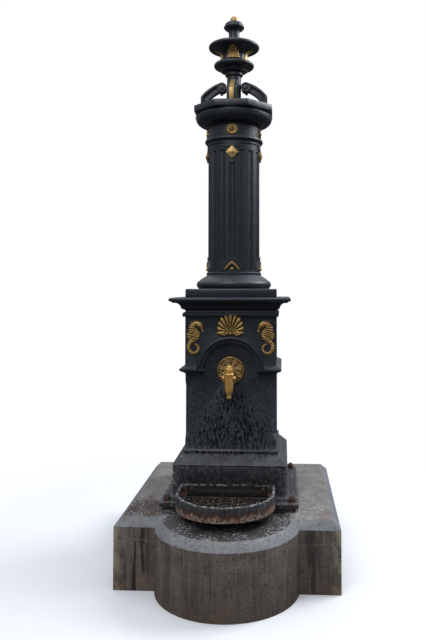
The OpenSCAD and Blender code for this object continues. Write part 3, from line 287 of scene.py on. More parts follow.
# Dark runs of rust and dirt down the front of the left shoulder, fewer on the right
left_run = stone.times(stone.band(stone.x, -0.49, -0.37, 0.035), stone.grade(stone.back, -0.9, -0.95))
right_run = stone.times(stone.band(stone.x, 0.37, 0.46, 0.03), stone.grade(stone.back, -0.9, -0.95), 0.75)
run_lines = stone.grade(stone.noise(30, 6, (1, 1, 0.10)), 0.44, 0.52)
runs = stone.times(stone.calc("ADD", left_run, right_run), run_lines, 0.95)
face = stone.mix(runs, face, (0.012, 0.010, 0.010))
# Yellowish lime on the upright corners, and in thin lines beside the runs
corner = stone.grade(stone.calc("ABSOLUTE", stone.x), 0.490, 0.545)
lime_patch = stone.times(corner, stone.grade(stone.noise(24, 5, (1, 1, 0.45)), 0.45, 0.54), 0.90)
face = stone.mix(lime_patch, face, (0.330, 0.280, 0.190))
top = stone.mix(stone.grade(mottle, 0.3, 0.7), (0.125, 0.108, 0.093), (0.215, 0.195, 0.175))
top = stone.mix(stone.times(stone.grade(grain, 0.54, 0.64), 0.55), top, (0.075, 0.062, 0.052))
# The wet ground round the tray, and the rusty pool on the left of the foot flange
from_tray = stone.node("ShaderNodeVectorMath", {
    0: stone.place, 1: (tray_x, tray_low.y + 0.23, stone_top)}, operation="DISTANCE").outputs["Value"]
ragged = stone.calc(
    "ADD", stone.grade(mottle, 0.3, 0.7, -0.06, 0.06), stone.grade(grain, 0.3, 0.7, -0.03, 0.03))
wet = stone.grade(stone.calc("ADD", from_tray, ragged), 0.350, 0.315)
top = stone.mix(stone.times(wet, 0.92), top, (0.022, 0.018, 0.015))
pool = stone.node("ShaderNodeVectorMath", {
    0: stone.place, 1: (-0.43, -0.30, stone_top)}, operation="DISTANCE").outputs["Value"]
pool = stone.grade(stone.calc("ADD", pool, ragged), 0.17, 0.11)
top = stone.mix(stone.times(pool, 0.85), top, (0.042, 0.020, 0.013))
chips = stone.times(stone.grade(stone.noise(95, 6), 0.545, 0.60), stone.grade(stone.noise(9, 3), 0.42, 0.55))
chips = stone.times(chips, stone.grade(stone.y, 0.10, -0.10, 0.25, 1.0))
top = stone.mix(stone.times(chips, 0.85), top, (0.36, 0.37, 0.39))
chamfer = stone.mix(stone.grade(mottle, 0.3, 0.7), (0.125, 0.123, 0.122), (0.215, 0.218, 0.225))
chamfer = stone.mix(stone.times(stone.grade(grain, 0.56, 0.65), 0.60), chamfer, (0.056, 0.050, 0.046))
tone = stone.mix(stone.grade(stone.up, 0.25, 0.5), face, chamfer)
tone = stone.mix(stone.grade(stone.up, 0.85, 0.95), tone, top)
# A hairline crack runs round the block under the chamfer, with pale chipped lips
crack_z = stone.calc("ADD", stone.z, stone.grade(stone.noise(11, 5), 0.3, 0.7, -0.016, 0.016))
crack_here = stone.grade(stone.noise(5, 2), 0.38, 0.46)
lip = stone.times(stone.band(crack_z, stone_top - 0.108, stone_top - 0.100, 0.002), crack_here, 0.85)
tone = stone.mix(stone.times(lip, stone.grade(grain, 0.4, 0.6)), tone, (0.27, 0.23, 0.18))
crack = stone.band(crack_z, stone_top - 0.104, stone_top - 0.102, 0.0012)
tone = stone.mix(stone.times(crack, crack_here, 0.90), tone, (0.012, 0.010, 0.009))
tone = stone.mix(stone.times(stone.grade(speckle, 0.55, 0.72), 0.30), tone, (0.32, 0.30, 0.28))
stone.colour(tone)
stone.roughen(stone.grade(wet, 0.0, 1.0, 0.86, 0.42))
stone.relief((mottle, 0.003), (grain, 0.0022), (speckle, 0.0010))

plinth = take_copy("stone_plinth", "plinth_stone")
round_edges(plinth, 0.005, 3)
finish_piece(plinth, stone)
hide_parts("stone_plinth")

# ---------------------------------------------------------------- Mortar bed
# A bed of mortar, trowelled level, that seats the iron foot on the stone; its colour is painted
# dark as shade for the shadowed gap under the flange.
mortar = Finish("mortar_painted_shade_dark", roughness=0.8)
mortar_grain = mortar.noise(90, 5)
# Painted shade: the mortar is coloured near-black to stand in for the shadow under the flange.
mortar.colour(mortar.mix(
    mortar.grade(mortar_grain, 0.35, 0.65), (0.030, 0.027, 0.024), (0.075, 0.068, 0.060)))
mortar.relief((mortar_grain, 0.002))
bed = take_copy("mortar_bed", "mortar_bed_trowelled")
finish_piece(bed, mortar)
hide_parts("mortar_bed")

# -------------------------------------------------------- The iron pedestal
# Iron castings under many coats of satin near-black paint: foot and box, sloping skirt, body,
# cornice and the square block. Their arrises are soft with paint. Hard water has streaked the
# face under the tap, and the foot is worn through to rust and old pale coats.
tap_low, tap_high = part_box("tap_nozzle")
tap_x = (tap_low.x + tap_high.x) / 2
skirt_low, skirt_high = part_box("base_skirt")
base_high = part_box("pedestal_base")[1]
flange_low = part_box("base_flange")[0]

iron = Finish("painted_cast_iron", roughness=0.45)
cast_skin = iron.noise(420, 3)
brushed = iron.noise(26, 5)
broad = iron.noise(4.5, 4)
paint = iron.mix(iron.grade(broad, 0.3, 0.7), (0.0095, 0.0130, 0.0180), (0.0150, 0.0200, 0.0265))
# Pale dust, and painted sky light: what faces the sky is painted lighter and bluer
dust_and_sky_sheen = iron.times(iron.grade(iron.up, 0.35, 0.95), iron.grade(brushed, 0.3, 0.7, 0.35, 1.0))
paint = iron.mix(iron.times(dust_and_sky_sheen, 0.55), paint, (0.075, 0.083, 0.093))
# The face under the tap: blue-grey where spray dries, with a fan of black drips where it runs
fall = iron.calc("SUBTRACT", tap_low.z + 0.06, iron.z)
front_face = iron.times(
    iron.grade(iron.y, -0.19, -0.21), iron.grade(iron.z, skirt_high.z - 0.02, skirt_high.z + 0.01))
haze = iron.times(front_face, iron.grade(fall, -0.12, 0.10))
dried = iron.grade(iron.noise(120, 6, (1, 1, 0.6)), 0.40, 0.66)
paint = iron.mix(iron.times(haze, dried, 0.85), paint, (0.066, 0.073, 0.083))
spread = iron.node("ShaderNodeMath", {0: fall, 1: 0.52, 2: 0.045}, operation="MULTIPLY_ADD").outputs[0]
aside = iron.calc("ABSOLUTE", iron.calc("SUBTRACT", iron.x, tap_x))
sideways = iron.grade(iron.calc("DIVIDE", aside, spread), 1.30, 0.50)
downwards = iron.times(iron.grade(fall, 0.02, 0.06), iron.grade(fall, 0.0, 0.34, 0.42, 1.05))
fan = iron.times(sideways, downwards, front_face)
drip = iron.calc("ADD", iron.noise(105, 7, (1, 1, 0.34), twist=0.6), iron.times(fan, 0.125))
trickle = iron.times(iron.grade(drip, 0.600, 0.628), iron.grade(fan, 0.02, 0.12))
paint = iron.mix(trickle, paint, (0.0016, 0.0016, 0.0020))
# The skirt and the foot: soot, fine pale streaks of lime, and rust that creeps up from the foot
low_down = iron.grade(iron.z, skirt_high.z + 0.03, skirt_high.z - 0.01)
box_only = iron.grade(iron.z, skirt_low.z + 0.004, skirt_low.z)
soot = iron.times(iron.grade(iron.noise(24, 5, (1, 1, 0.5)), 0.46, 0.56), low_down, 0.85)
paint = iron.mix(iron.calc("MAXIMUM", soot, iron.times(box_only, 0.75)), paint, (0.0045, 0.0048, 0.0058))
lime_runs = iron.times(iron.grade(iron.noise(150, 6, (1, 1, 0.28)), 0.53, 0.66), low_down)
paint = iron.mix(iron.times(lime_runs, 0.55), paint, (0.105, 0.115, 0.130))
near_edge = iron.grade(iron.calc("ABSOLUTE", iron.x), base_high.x - 0.075, base_high.x - 0.01, 0.0, 0.085)
chip = iron.calc("ADD", iron.noise(60, 5), near_edge)
chipped = iron.times(iron.grade(chip, 0.675, 0.695), low_down)
paint = iron.mix(iron.times(chipped, 0.8), paint, (0.27, 0.245, 0.235))
foot = iron.grade(iron.z, flange_low.z + 0.12, flange_low.z + 0.02)
rust = iron.times(
    iron.grade(iron.noise(38, 6), 0.50, 0.60), iron.calc("MAXIMUM", foot, iron.times(low_down, 0.35)))
paint = iron.mix(iron.times(rust, 0.75), paint, (0.052, 0.021, 0.011))
worn = iron.times(iron.edge(0.0035, 7), iron.grade(iron.noise(45, 4), 0.44, 0.54), low_down)
paint = iron.mix(iron.times(worn, 0.85), paint, (0.26, 0.255, 0.25))
# Scuffs, and a painted highlight: every arris is painted lighter and bluer in patches.
scuffs_and_edge_highlight = iron.times(iron.edge(0.003, 9), iron.grade(brushed, 0.40, 0.58), 0.5)
paint = iron.mix(scuffs_and_edge_highlight, paint, (0.070, 0.078, 0.090))
iron.colour(paint)
gloss = iron.grade(brushed, 0.3, 0.7, 0.36, 0.50)
gloss = iron.calc("ADD", gloss, iron.times(iron.calc("MAXIMUM", haze, low_down), dried, 0.22))
gloss = iron.calc("SUBTRACT", gloss, iron.times(trickle, 0.30))
iron.roughen(gloss)
iron.relief((broad, 0.003), (brushed, 0.0012), (cast_skin, 0.0003))


def skin(node, name, finish, arris=0.0, body="fountain", smooth=35):
    """Replaces a CAD node by a smoothed copy of itself with rounded arrises."""
    piece = take_copy(node, name)
    if arris:
        round_edges(piece, arris)
    finish_piece(piece, finish, body, smooth)
    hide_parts(node)
    return piece


for node, name, arris in (
    ("base_flange", "foot_flange_casting", 0.0025), ("pedestal_base", "base_casting", 0.0025),
    ("base_skirt", "skirt_casting", 0.002), ("pedestal_body", "body_casting", 0.0016),
    ("cornice", "cornice_casting", 0.002), ("column_block", "block_casting", 0.0025),
):
    skin(node, name, iron, arris)

# ------------------------------------------------------------------ Column
# Round castings stacked on the block: moulded base, fluted shaft with pointed arches at its
# foot, neck ring with four tabs, bell capital and eight-sided abacus.
for node, name, arris in (
    ("column_base", "column_base_casting", 0.0), ("column_shaft", "shaft_casting", 0.0),
    ("neck_ring", "neck_ring_casting", 0.0), ("capital", "capital_casting", 0.0),
    ("abacus", "abacus_casting", 0.0025),
):
    skin(node, name, iron, arris, smooth=30)

# -------------------------------------------------------------- Gilt trim
# Beads, balls and bosses picked out in gold leaf that has aged to antique gold, with painted
# shade in its hollows and a painted highlight on its edges: a chevron and a ball in each arch, a
# lozenge on each tab of the neck ring.
gilt = Finish("aged_gold_leaf", roughness=0.40, metallic=0.60)
leaf_tone = gilt.noise(60, 5)
leafing = gilt.mix(gilt.grade(leaf_tone, 0.3, 0.7), (0.350, 0.205, 0.060), (0.540, 0.340, 0.120))
# Painted highlight: the gold is painted paler along its edges.
leafing = gilt.mix(gilt.times(gilt.edge(0.0015, 5), 0.55), leafing, (0.80, 0.60, 0.30))
# Painted shade: the gold is painted near-black in its hollows, the more enclosed the darker.
leafing = gilt.mix(gilt.grade(gilt.crevice(0.012), 0.90, 0.40), leafing, (0.020, 0.011, 0.004))
gilt.colour(leafing)
gilt.roughen(gilt.grade(leaf_tone, 0.3, 0.7, 0.34, 0.52))
gilt.relief((leaf_tone, 0.0008), (gilt.noise(500, 2), 0.0002))
for node, name, arris in (
    ("gold_chevrons", "gilt_chevrons", 0.0012), ("gold_balls", "gilt_balls", 0.0),
    ("lozenge_bosses", "gilt_lozenges", 0.0008), ("bracket_inlays", "gilt_bracket_strips", 0.0004),
):
    skin(node, name, gilt, arris)


def raise_relief(name, columns, rows, place, back):
    """A carved front, laid out by place(u, v) from a grid, closed with a rim and a flat back."""
    bpy.ops.object.select_all(action="DESELECT")
    bpy.ops.mesh.primitive_grid_add(x_subdivisions=columns, y_subdivisions=rows, size=2)
    piece = bpy.context.object
    piece.name = name
    for corner in piece.data.vertices:
        corner.co = place((corner.co.x + 1) / 2, (corner.co.y + 1) / 2)
    bpy.ops.object.mode_set(mode="EDIT")
    bpy.ops.mesh.select_all(action="SELECT")
    bpy.ops.mesh.remove_doubles(threshold=0.00002)
    bpy.ops.mesh.select_all(action="DESELECT")
    bpy.ops.mesh.select_mode(type="EDGE")
    bpy.ops.mesh.select_non_manifold()
    bpy.ops.mesh.extrude_region_move(TRANSFORM_OT_translate={"value": (0, 0.001, 0)})
    bpy.ops.object.mode_set(mode="OBJECT")
    for corner in piece.data.vertices:
        if corner.select:
            corner.co.y = back
    bpy.ops.object.mode_set(mode="EDIT")
    bpy.ops.mesh.edge_face_add()
    bpy.ops.mesh.select_all(action="SELECT")
    bpy.ops.mesh.normals_make_consistent(inside=False)
    bpy.ops.object.mode_set(mode="OBJECT")
    return piece


def join(name, pieces):
    bpy.ops.object.select_all(action="DESELECT")
    for piece in pieces:
        piece.select_set(True)
    bpy.context.view_layer.objects.active = pieces[0]
    bpy.ops.object.join()
    bpy.context.object.name = name
    bpy.ops.object.transform_apply(location=True, rotation=True, scale=True)
    return bpy.context.object


def bead(place, radius, scale=(1, 1, 1)):
    bpy.ops.object.select_all(action="DESELECT")
    bpy.ops.mesh.primitive_uv_sphere_add(segments=20, ring_count=12, radius=radius, location=place)
    bpy.context.object.scale = scale
    bpy.ops.object.transform_apply(location=True, rotation=True, scale=True)
    return bpy.context.object


def quarter_turns(piece, name):
    """The same piece on all four sides of the column, as one mesh."""
    copies = [piece]
    for turn in (1, 2, 3):
        bpy.ops.object.select_all(action="DESELECT")
        piece.select_set(True)
        bpy.context.view_layer.objects.active = piece
        bpy.ops.object.duplicate()
        bpy.context.object.rotation_euler.z = turn * math.pi / 2
        bpy.ops.object.transform_apply(location=False, rotation=True, scale=False)
        copies.append(bpy.context.object)
    return join(name, copies)


# --------------------------------------------------------------- Rosettes
# Cast flowers on the neck of the capital, one a side: petals round a centre boss, inside a
# rolled rim. Gilt, and screwed on from inside.
rosette_low, rosette_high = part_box("capital_rosettes")
rosette_z = (rosette_low.z + rosette_high.z) / 2
rosette_r = (rosette_high.z - rosette_low.z) / 2
neck_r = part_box("column_shaft")[1].x - 0.0035


def rosette_front(u, v):
    turn, out = 2 * math.pi * u, rosette_r * v
    petal = max(0, math.cos(8 * turn)) ** 0.5
    height = 0.0045 + 0.0040 * petal * math.sin(math.pi * min(1, max(0, (v - 0.30) / 0.50)))
    height += 0.0080 * math.sqrt(max(0, 1 - (v / 0.25) ** 2))
    height -= 0.0020 * max(0, 1 - abs(v - 0.33) / 0.07)
    rim = math.sqrt(max(0, 1 - max(0, (v - 0.90) / 0.10) ** 2))
    height += 0.0030 * min(1, max(0, (v - 0.78) / 0.06)) * rim
    return out * math.cos(turn), -neck_r - height, rosette_z + out * math.sin(turn)


rosette = raise_relief("rosette", 96, 28, rosette_front, -neck_r + 0.006)
rosettes = quarter_turns(rosette, "gilt_rosettes")
finish_piece(rosettes, gilt, smooth=50)
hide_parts("capital_rosettes")

# ----------------------------------------------------------- Scallop shell
# A gilt scallop over the arch: eleven rounded fingers that fan out from the hinge to a
# scalloped edge, with a curl on each side of the hinge and three beads below it.
shell_low, shell_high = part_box("scallop_shell")
shell_foot = shell_low.z + 0.027
wall_y = shell_high.y
shell_r, shell_lobes = 0.092, 11


def shell_front(u, v):
    turn = math.radians(204 * u - 12)
    finger = abs(math.sin(math.pi * shell_lobes * u))
    reach = 0.80 + 0.24 * math.sin(max(0, min(math.pi, turn))) ** 1.5
    edge_r = shell_r * reach + 0.011 * (finger - 1) + 0.008
    out = edge_r * v
    dome = 0.003 + 0.004 * (1 - v ** 2)
    ridge = 0.0100 * min(1, v * 1.8) * finger ** 0.55
    tip = math.sqrt(max(0, 1 - max(0, (v - 0.84) / 0.16) ** 2))
    groove = 0.0012 * max(0, 1 - abs(finger - 0.35) / 0.12) * min(1, v * 1.5)
    return (0.88 * out * math.cos(turn), wall_y - dome - (ridge - groove) * (0.15 + 0.85 * tip),
            shell_foot + out * math.sin(turn))


def curl_front(side):
    def front(u, v):
        turn = math.radians(-60 + 470 * u)
        coil = 0.0135 * (1 - 0.78 * u)
        thick = 0.0052 * (1 - 0.45 * u)
        middle = (0.040 - coil * math.cos(turn), -0.006 + coil * math.sin(turn))
        off = thick * math.cos(math.pi * v)
        rise = 0.009 + 0.004 * u + thick * math.sin(math.pi * v)
        return (side * (middle[0] - off * math.cos(turn)), wall_y - rise,
                shell_foot + middle[1] + off * math.sin(turn))
    return front


shell_parts = [raise_relief("shell", 16 * shell_lobes, 30, shell_front, wall_y)]
for side in (-1, 1):
    shell_parts.append(raise_relief("curl", 60, 8, curl_front(side), wall_y))
for bead_x, bead_r in ((-0.018, 0.0075), (0.0, 0.0085), (0.018, 0.0075)):
    shell_parts.append(bead((bead_x, wall_y - 0.0085, shell_foot - 0.006), bead_r, (1, 1.1, 1.1)))
shell = join("gilt_scallop_shell", shell_parts)
finish_piece(shell, gilt, smooth=55)
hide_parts("scallop_shell")

# -------------------------------------------------------------- Seahorses
# A gilt seahorse in each top corner, facing the shell: a flared snout, a round cheek, a spiny
# crest, ribs, a feathered fin behind it and a tail that loops inwards. Cast in relief and
# screwed to the face.
seahorse_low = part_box("seahorse_left")[0]
seahorse_foot = seahorse_low.z
seahorse_x = seahorse_low.x + 0.047
# From snout to tail: place towards the shell, height, half width, height off the wall
spine = [
    (0.0385, 0.1225, 0.0078, 0.007), (0.0345, 0.1360, 0.0052, 0.008), (0.0275, 0.1520, 0.0115, 0.012),
    (0.0170, 0.1620, 0.0135, 0.0125), (0.0040, 0.1650, 0.0125, 0.012), (-0.0080, 0.1580, 0.0150, 0.012),
    (-0.0130, 0.1445, 0.0190, 0.0125), (-0.0100, 0.1270, 0.0250, 0.013), (-0.0010, 0.1090, 0.0265, 0.013),
    (0.0010, 0.0930, 0.0205, 0.0125), (-0.0110, 0.0780, 0.0140, 0.011), (-0.0260, 0.0640, 0.0110, 0.010),
    (-0.0350, 0.0450, 0.0092, 0.009), (-0.0310, 0.0250, 0.0086, 0.009), (-0.0160, 0.0110, 0.0080, 0.008),
    (0.0040, 0.0145, 0.0072, 0.008), (0.0145, 0.0290, 0.0066, 0.007), (0.0125, 0.0455, 0.0058, 0.007),
    (0.0030, 0.0545, 0.0050, 0.006), (-0.0060, 0.0570, 0.0055, 0.006),
]


def along_spine(u):
    """A smooth curve through the spine's points, and its direction there."""
    reach = u * (len(spine) - 1)
    first = min(int(reach), len(spine) - 2)
    t = reach - first
    near = [spine[max(0, min(len(spine) - 1, first + k))] for k in (-1, 0, 1, 2)]
    point, slope = [], []
    for a, b, c, d in zip(*near):
        bow, twist = 2 * a - 5 * b + 4 * c - d, 3 * b - a - 3 * c + d
        point.append(b + t * ((c - a) / 2 + t * (bow / 2 + t * twist / 2)))
        slope.append((c - a) / 2 + t * bow + t * t * 1.5 * twist)
    size = math.hypot(slope[0], slope[1])
    return point, (slope[0] / size, slope[1] / size)


def seahorse_front(side):
    ribs = 36

    def front(u, v):
        (x, z, half, rise), (dx, dz) = along_spine(u)
        ribbed = min(1, max(0, (u - 0.25) / 0.04))
        rib = abs(math.sin(math.pi * ribs * u)) ** 0.7
        back_side = max(0, -math.cos(math.pi * v))
        half *= 1 + ribbed * (0.34 * rib ** 2 * back_side ** 2 - 0.08)
        rise *= 1 - ribbed * 0.45 * (1 - rib)
        across = half * math.cos(math.pi * v)
        return (side * (seahorse_x + x - dz * across), wall_y - rise * math.sin(math.pi * v) ** 0.8 - 0.0001,
                seahorse_foot + z + dx * across)
    return front


def fin_front(side):
    def front(u, v):
        turn = math.radians(158 + 84 * u)
        quill = abs(math.cos(4 * math.pi * u))
        out = 0.036 * v * (1 - 0.16 * (1 - quill))
        rise = 0.003 + 0.004 * (1 - v) + 0.0045 * quill * v ** 0.5 * (1 - 0.5 * v ** 4)
        return (side * (seahorse_x - 0.009 + out * math.cos(turn)), wall_y - rise,
                seahorse_foot + 0.106 + out * math.sin(turn))
    return front


for side, name, node in (
    (1, "gilt_seahorse_left", "seahorse_left"), (-1, "gilt_seahorse_right", "seahorse_right"),
):
    parts = [raise_relief("body", 480, 16, seahorse_front(side), wall_y)]
    parts.append(raise_relief("fin", 60, 10, fin_front(side), wall_y))
    parts.append(bead((side * (seahorse_x + 0.0175), wall_y - 0.0140, seahorse_foot + 0.1590), 0.0036))
    cheek = (side * (seahorse_x + 0.0200), wall_y - 0.0050, seahorse_foot + 0.1555)
    parts.append(bead(cheek, 0.0135, (1.0, 0.75, 0.85)))
    for spike_x, spike_z, spike_r in (
        (-0.026, 0.160, 0.0045), (-0.019, 0.1690, 0.0050), (-0.009, 0.1745, 0.0050), (0.002, 0.1775, 0.0048),
        (0.013, 0.1765, 0.0045), (0.024, 0.1720, 0.0042),
    ):
        spike = (side * (seahorse_x + spike_x), wall_y - 0.005, seahorse_foot + spike_z)
        parts.append(bead(spike, spike_r, (0.8, 1.2, 1.0)))
    seahorse = join(name, parts)
    finish_piece(seahorse, gilt, smooth=50)
    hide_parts(node)

# -------------------------------------------------------------------- Tap
# A cast brass push tap, worn bright where hands touch it, on a round plate with eight petals
# inside a rolled rim. The barrel tapers to its nozzle; a domed button stands on the bonnet.
brass = Finish("worn_brass", roughness=0.30, metallic=0.4)
brass_tone = brass.noise(35, 4)
warm = brass.mix(brass.grade(brass_tone, 0.3, 0.7), (0.600, 0.320, 0.082), (0.780, 0.450, 0.140))
# Painted shade: the brass is painted dark brown in its recesses, the more enclosed the darker.
warm = brass.mix(brass.grade(brass.crevice(0.006), 0.9, 0.4), warm, (0.060, 0.042, 0.020))
brass.colour(warm)
brass.roughen(brass.grade(brass_tone, 0.3, 0.7, 0.20, 0.32))
brass.relief((brass_tone, 0.0006), (brass.noise(600, 2), 0.0001))
tarnished = Finish("tarnished_brass", roughness=0.42, metallic=0.75)
tarnish = tarnished.noise(45, 5)
dull = tarnished.mix(tarnished.grade(tarnish, 0.3, 0.7), (0.260, 0.170, 0.062), (0.480, 0.310, 0.110))
dull = tarnished.mix(tarnished.times(tarnished.edge(0.0015, 5), 0.5), dull, (0.66, 0.46, 0.20))
dull = tarnished.mix(tarnished.grade(tarnished.crevice(0.009), 0.90, 0.45), dull, (0.026, 0.030, 0.024))
tarnished.colour(dull)
tarnished.roughen(tarnished.grade(tarnish, 0.3, 0.7, 0.34, 0.55))
tarnished.relief((tarnish, 0.0006), (tarnished.noise(500, 2), 0.0002))

plate_low, plate_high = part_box("tap_plate")
plate_z = (plate_low.z + plate_high.z) / 2
plate_r = (plate_high.z - plate_low.z) / 2
plate_back = plate_high.y


def tap_plate_front(u, v):
    petals = 8
    turn, out = 2 * math.pi * u, plate_r * v
    phase = (petals * u) % 1 - 0.5
    lobe = 0.42 * math.sqrt(max(0, 1 - ((v - 0.60) / 0.30) ** 2)) if 0.30 < v < 0.90 else 0
    height = 0.0035
    if lobe:
        inside = abs(phase) / lobe
        if inside < 1:
            height += 0.0030 + 0.0030 * max(0, 1 - abs(inside - 0.82) / 0.2)
            height += 0.0012 * abs(math.sin(5 * math.pi * phase / 0.42)) * (1 - inside)
    wave = 0.885 - 0.022 * math.cos(2 * math.pi * (petals * u))
    if v > wave:
        over_rim = min(1, (v - wave) / (1.0 - wave) * 0.93 + 0.07)
        height = max(height, 0.0050 + 0.0045 * math.sin(math.pi * over_rim))
    if v < 0.46:
        height = max(height, 0.0085)
    return out * math.cos(turn), plate_back - height, plate_z + out * math.sin(turn)


tap_plate = raise_relief("brass_tap_plate", 256, 44, tap_plate_front, plate_back)
finish_piece(tap_plate, tarnished, smooth=45)
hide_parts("tap_plate")


def turned(name, centre, profile, facets=64):
    """A ring turned about an upright axis, from (radius, height) pairs that come back to the first."""
    bpy.ops.object.select_all(action="DESELECT")
    bpy.ops.mesh.primitive_grid_add(x_subdivisions=facets, y_subdivisions=len(profile) - 1, size=2)
    piece = bpy.context.object
    piece.name = name
    for corner in piece.data.vertices:
        turn = math.pi * (corner.co.x + 1)
        radius, rise = profile[round((corner.co.y + 1) / 2 * (len(profile) - 1))]
        corner.co = (centre[0] + radius * math.cos(turn), centre[1] + radius * math.sin(turn), rise)
    bpy.ops.object.mode_set(mode="EDIT")
    bpy.ops.mesh.select_all(action="SELECT")
    bpy.ops.mesh.remove_doubles(threshold=0.00001)
    bpy.ops.mesh.normals_make_consistent(inside=False)
    bpy.ops.object.mode_set(mode="OBJECT")
    return piece


# The barrel's foot swells down into the nozzle in one smooth curve
nozzle_low, nozzle_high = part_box("tap_nozzle")
nozzle_y = (nozzle_low.y + nozzle_high.y) / 2
shoulder = turned("shoulder", (tap_x, nozzle_y), [
    (0.0150, 1.012), (0.0232, 1.012), (0.0233, 1.000), (0.0229, 0.982), (0.0221, 0.966), (0.0211, 0.952),
    (0.0200, 0.942), (0.0187, 0.935), (0.0168, 0.9290), (0.0144, 0.9255), (0.0125, 0.9225), (0.0117, 0.917),
    (0.0116, 0.910), (0.0122, 0.905), (0.0116, 0.9022), (0.0095, 0.9022), (0.0095, 0.934),
    (0.0150, 0.940), (0.0150, 1.012)])
tap_casting = join("brass_tap_body", [take_copy("tap_body", "tap_casting"), shoulder])
finish_piece(tap_casting, brass)
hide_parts("tap_body")
for node, name, arris, body in (
    ("tap_bonnet", "brass_bonnet", 0.0006, "fountain"),
    ("tap_button", "brass_button", 0.0005, "button"), ("tap_nozzle", "brass_nozzle", 0.0006, "fountain"),
    ("tap_side_plugs", "brass_side_plugs", 0.0006, "fountain"),
):
    skin(node, name, brass, arris, body)

# ---------------------------------------------------- Brackets and finial
# Four scroll brackets brace the post on the abacus. Over it: lower disc, upper disc on a
# hollow neck dressed with four gilt leaves, a cap, and a gilt acorn that screws the pile down.
for side in ("front", "right", "back", "left"):
    skin("bracket_" + side, "scroll_bracket_" + side, iron, 0.0018)
for node, name in (
    ("finial_post", "post_casting"), ("finial_lower_disc", "lower_disc_casting"),
    ("finial_upper_disc", "upper_disc_casting"), ("finial_cap", "cap_casting"),
):
    skin(node, name, iron)
skin("finial_acorn", "gilt_acorn", gilt)

disc_low, disc_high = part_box("finial_upper_disc")
flare_foot, flare_neck, flare_rim = disc_low.z, 0.069, disc_high.x - 0.013


def flare_r(z):
    """Radius of the hollow curve under the upper disc, at a height."""
    climb = max(0, min(1, (z - flare_foot - 0.018) / 0.046))
    return flare_rim - (flare_rim - flare_neck) * math.sqrt(1 - climb ** 2)


def leaf_front(u, v):
    across = 2 * u - 1
    z = flare_foot + 0.0008 + 0.0575 * v
    if v < 0.25:
        half = 0.038 - 0.006 * v / 0.25
    else:
        half = 0.032 * math.sqrt(1 - ((v - 0.25) / 0.78) ** 2)
    x = half * across
    rib = abs(math.cos(2.5 * math.pi * across))
    rise = 0.0020 + 0.0032 * rib * (1 - 0.5 * v) + 0.0022 * (1 - across ** 2)
    return x, -math.sqrt(flare_r(z) ** 2 - x * x) - rise, z


leaf = raise_relief("leaf", 60, 30, leaf_front, -flare_neck + 0.012)
leaves = quarter_turns(leaf, "gilt_leaves")
finish_piece(leaves, gilt, smooth=55)
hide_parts("finial_leaves")

# -------------------------------------------------------- Tray and grate
# A half-round cast tray with a rolled rim, bolted to the box over the lobe. Its paint has worn
# off: pale on the rim, where a painted highlight also runs along its top, orange rust down the
# wall, scale at the lower edge, damp moss inside.
tray = Finish("rusty_tray_iron", roughness=0.7)
tray_grain = tray.noise(55, 6)
tray_runs = tray.noise(42, 6, (1, 1, 0.25))
tray_centre = (tray_x, -0.415, 0)
level = tray.node("ShaderNodeVectorMath", {0: tray.place, 1: (1, 1, 0)}, operation="MULTIPLY")
out_r = tray.node("ShaderNodeVectorMath", {
    0: level.outputs[0], 1: tray_centre}, operation="DISTANCE").outputs["Value"]
height = tray.calc("ADD", tray.z, tray.grade(tray_runs, 0.3, 0.7, -0.016, 0.016))
wall = tray.mix(tray.grade(tray_grain, 0.35, 0.65), (0.014, 0.015, 0.017), (0.048, 0.049, 0.052))
pale_runs = tray.times(tray.grade(tray.noise(110, 5, (1, 1, 0.14)), 0.53, 0.62), 0.55)
wall = tray.mix(pale_runs, wall, (0.150, 0.150, 0.152))
rusted = tray.times(tray.grade(height, 0.442, 0.424), tray.grade(tray_runs, 0.36, 0.50, 0.35, 1.0))
wall = tray.mix(tray.times(rusted, 0.85), wall, (0.070, 0.030, 0.018))
orange = tray.times(tray.grade(height, 0.422, 0.408), tray.grade(tray_grain, 0.42, 0.56))
wall = tray.mix(orange, wall, (0.270, 0.105, 0.045))
scale = tray.times(tray.grade(height, 0.414, 0.400), tray.grade(tray.noise(100, 5), 0.46, 0.54))
wall = tray.mix(tray.times(scale, 0.9), wall, (0.36, 0.34, 0.31))
inside = tray.mix(tray.grade(tray_grain, 0.4, 0.6), (0.004, 0.0035, 0.003), (0.019, 0.009, 0.006))
moss = tray.times(tray.grade(tray.noise(25, 4), 0.50, 0.58), 0.5)
inside = tray.mix(moss, inside, (0.009, 0.011, 0.004))
tray_shade = tray.mix(tray.grade(out_r, 0.2350, 0.2362), inside, wall)
# Worn paint and a painted highlight: the top of the rim is painted pale in patches.
rim_wear_and_highlight = tray.times(tray.grade(tray.z, 0.4520, 0.4570), tray.grade(tray_grain, 0.48, 0.58))
tray_shade = tray.mix(rim_wear_and_highlight, tray_shade, (0.200, 0.200, 0.195))
tray.colour(tray_shade)
tray.roughen(tray.grade(tray_grain, 0.3, 0.7, 0.55, 0.85))
tray.relief((tray_grain, 0.0022), (tray.noise(260, 3), 0.0006))
skin("tray", "half_round_tray", tray, 0.0012)
skin("tray_pan", "tray_floor", tray)

grate = Finish("rusty_grate_iron", roughness=0.55)
grate_tone = grate.noise(60, 5)
bars = grate.mix(grate.grade(grate_tone, 0.4, 0.6), (0.009, 0.007, 0.006), (0.040, 0.020, 0.013))
worn_top = grate.times(grate.grade(grate.up, 0.5, 0.9), grate.grade(grate.noise(30, 4), 0.48, 0.60), 0.35)
bars = grate.mix(worn_top, bars, (0.20, 0.18, 0.15))
grate.colour(bars)
grate.relief((grate_tone, 0.0015))
skin("tray_grate", "lift_out_grate", grate, body="grate")

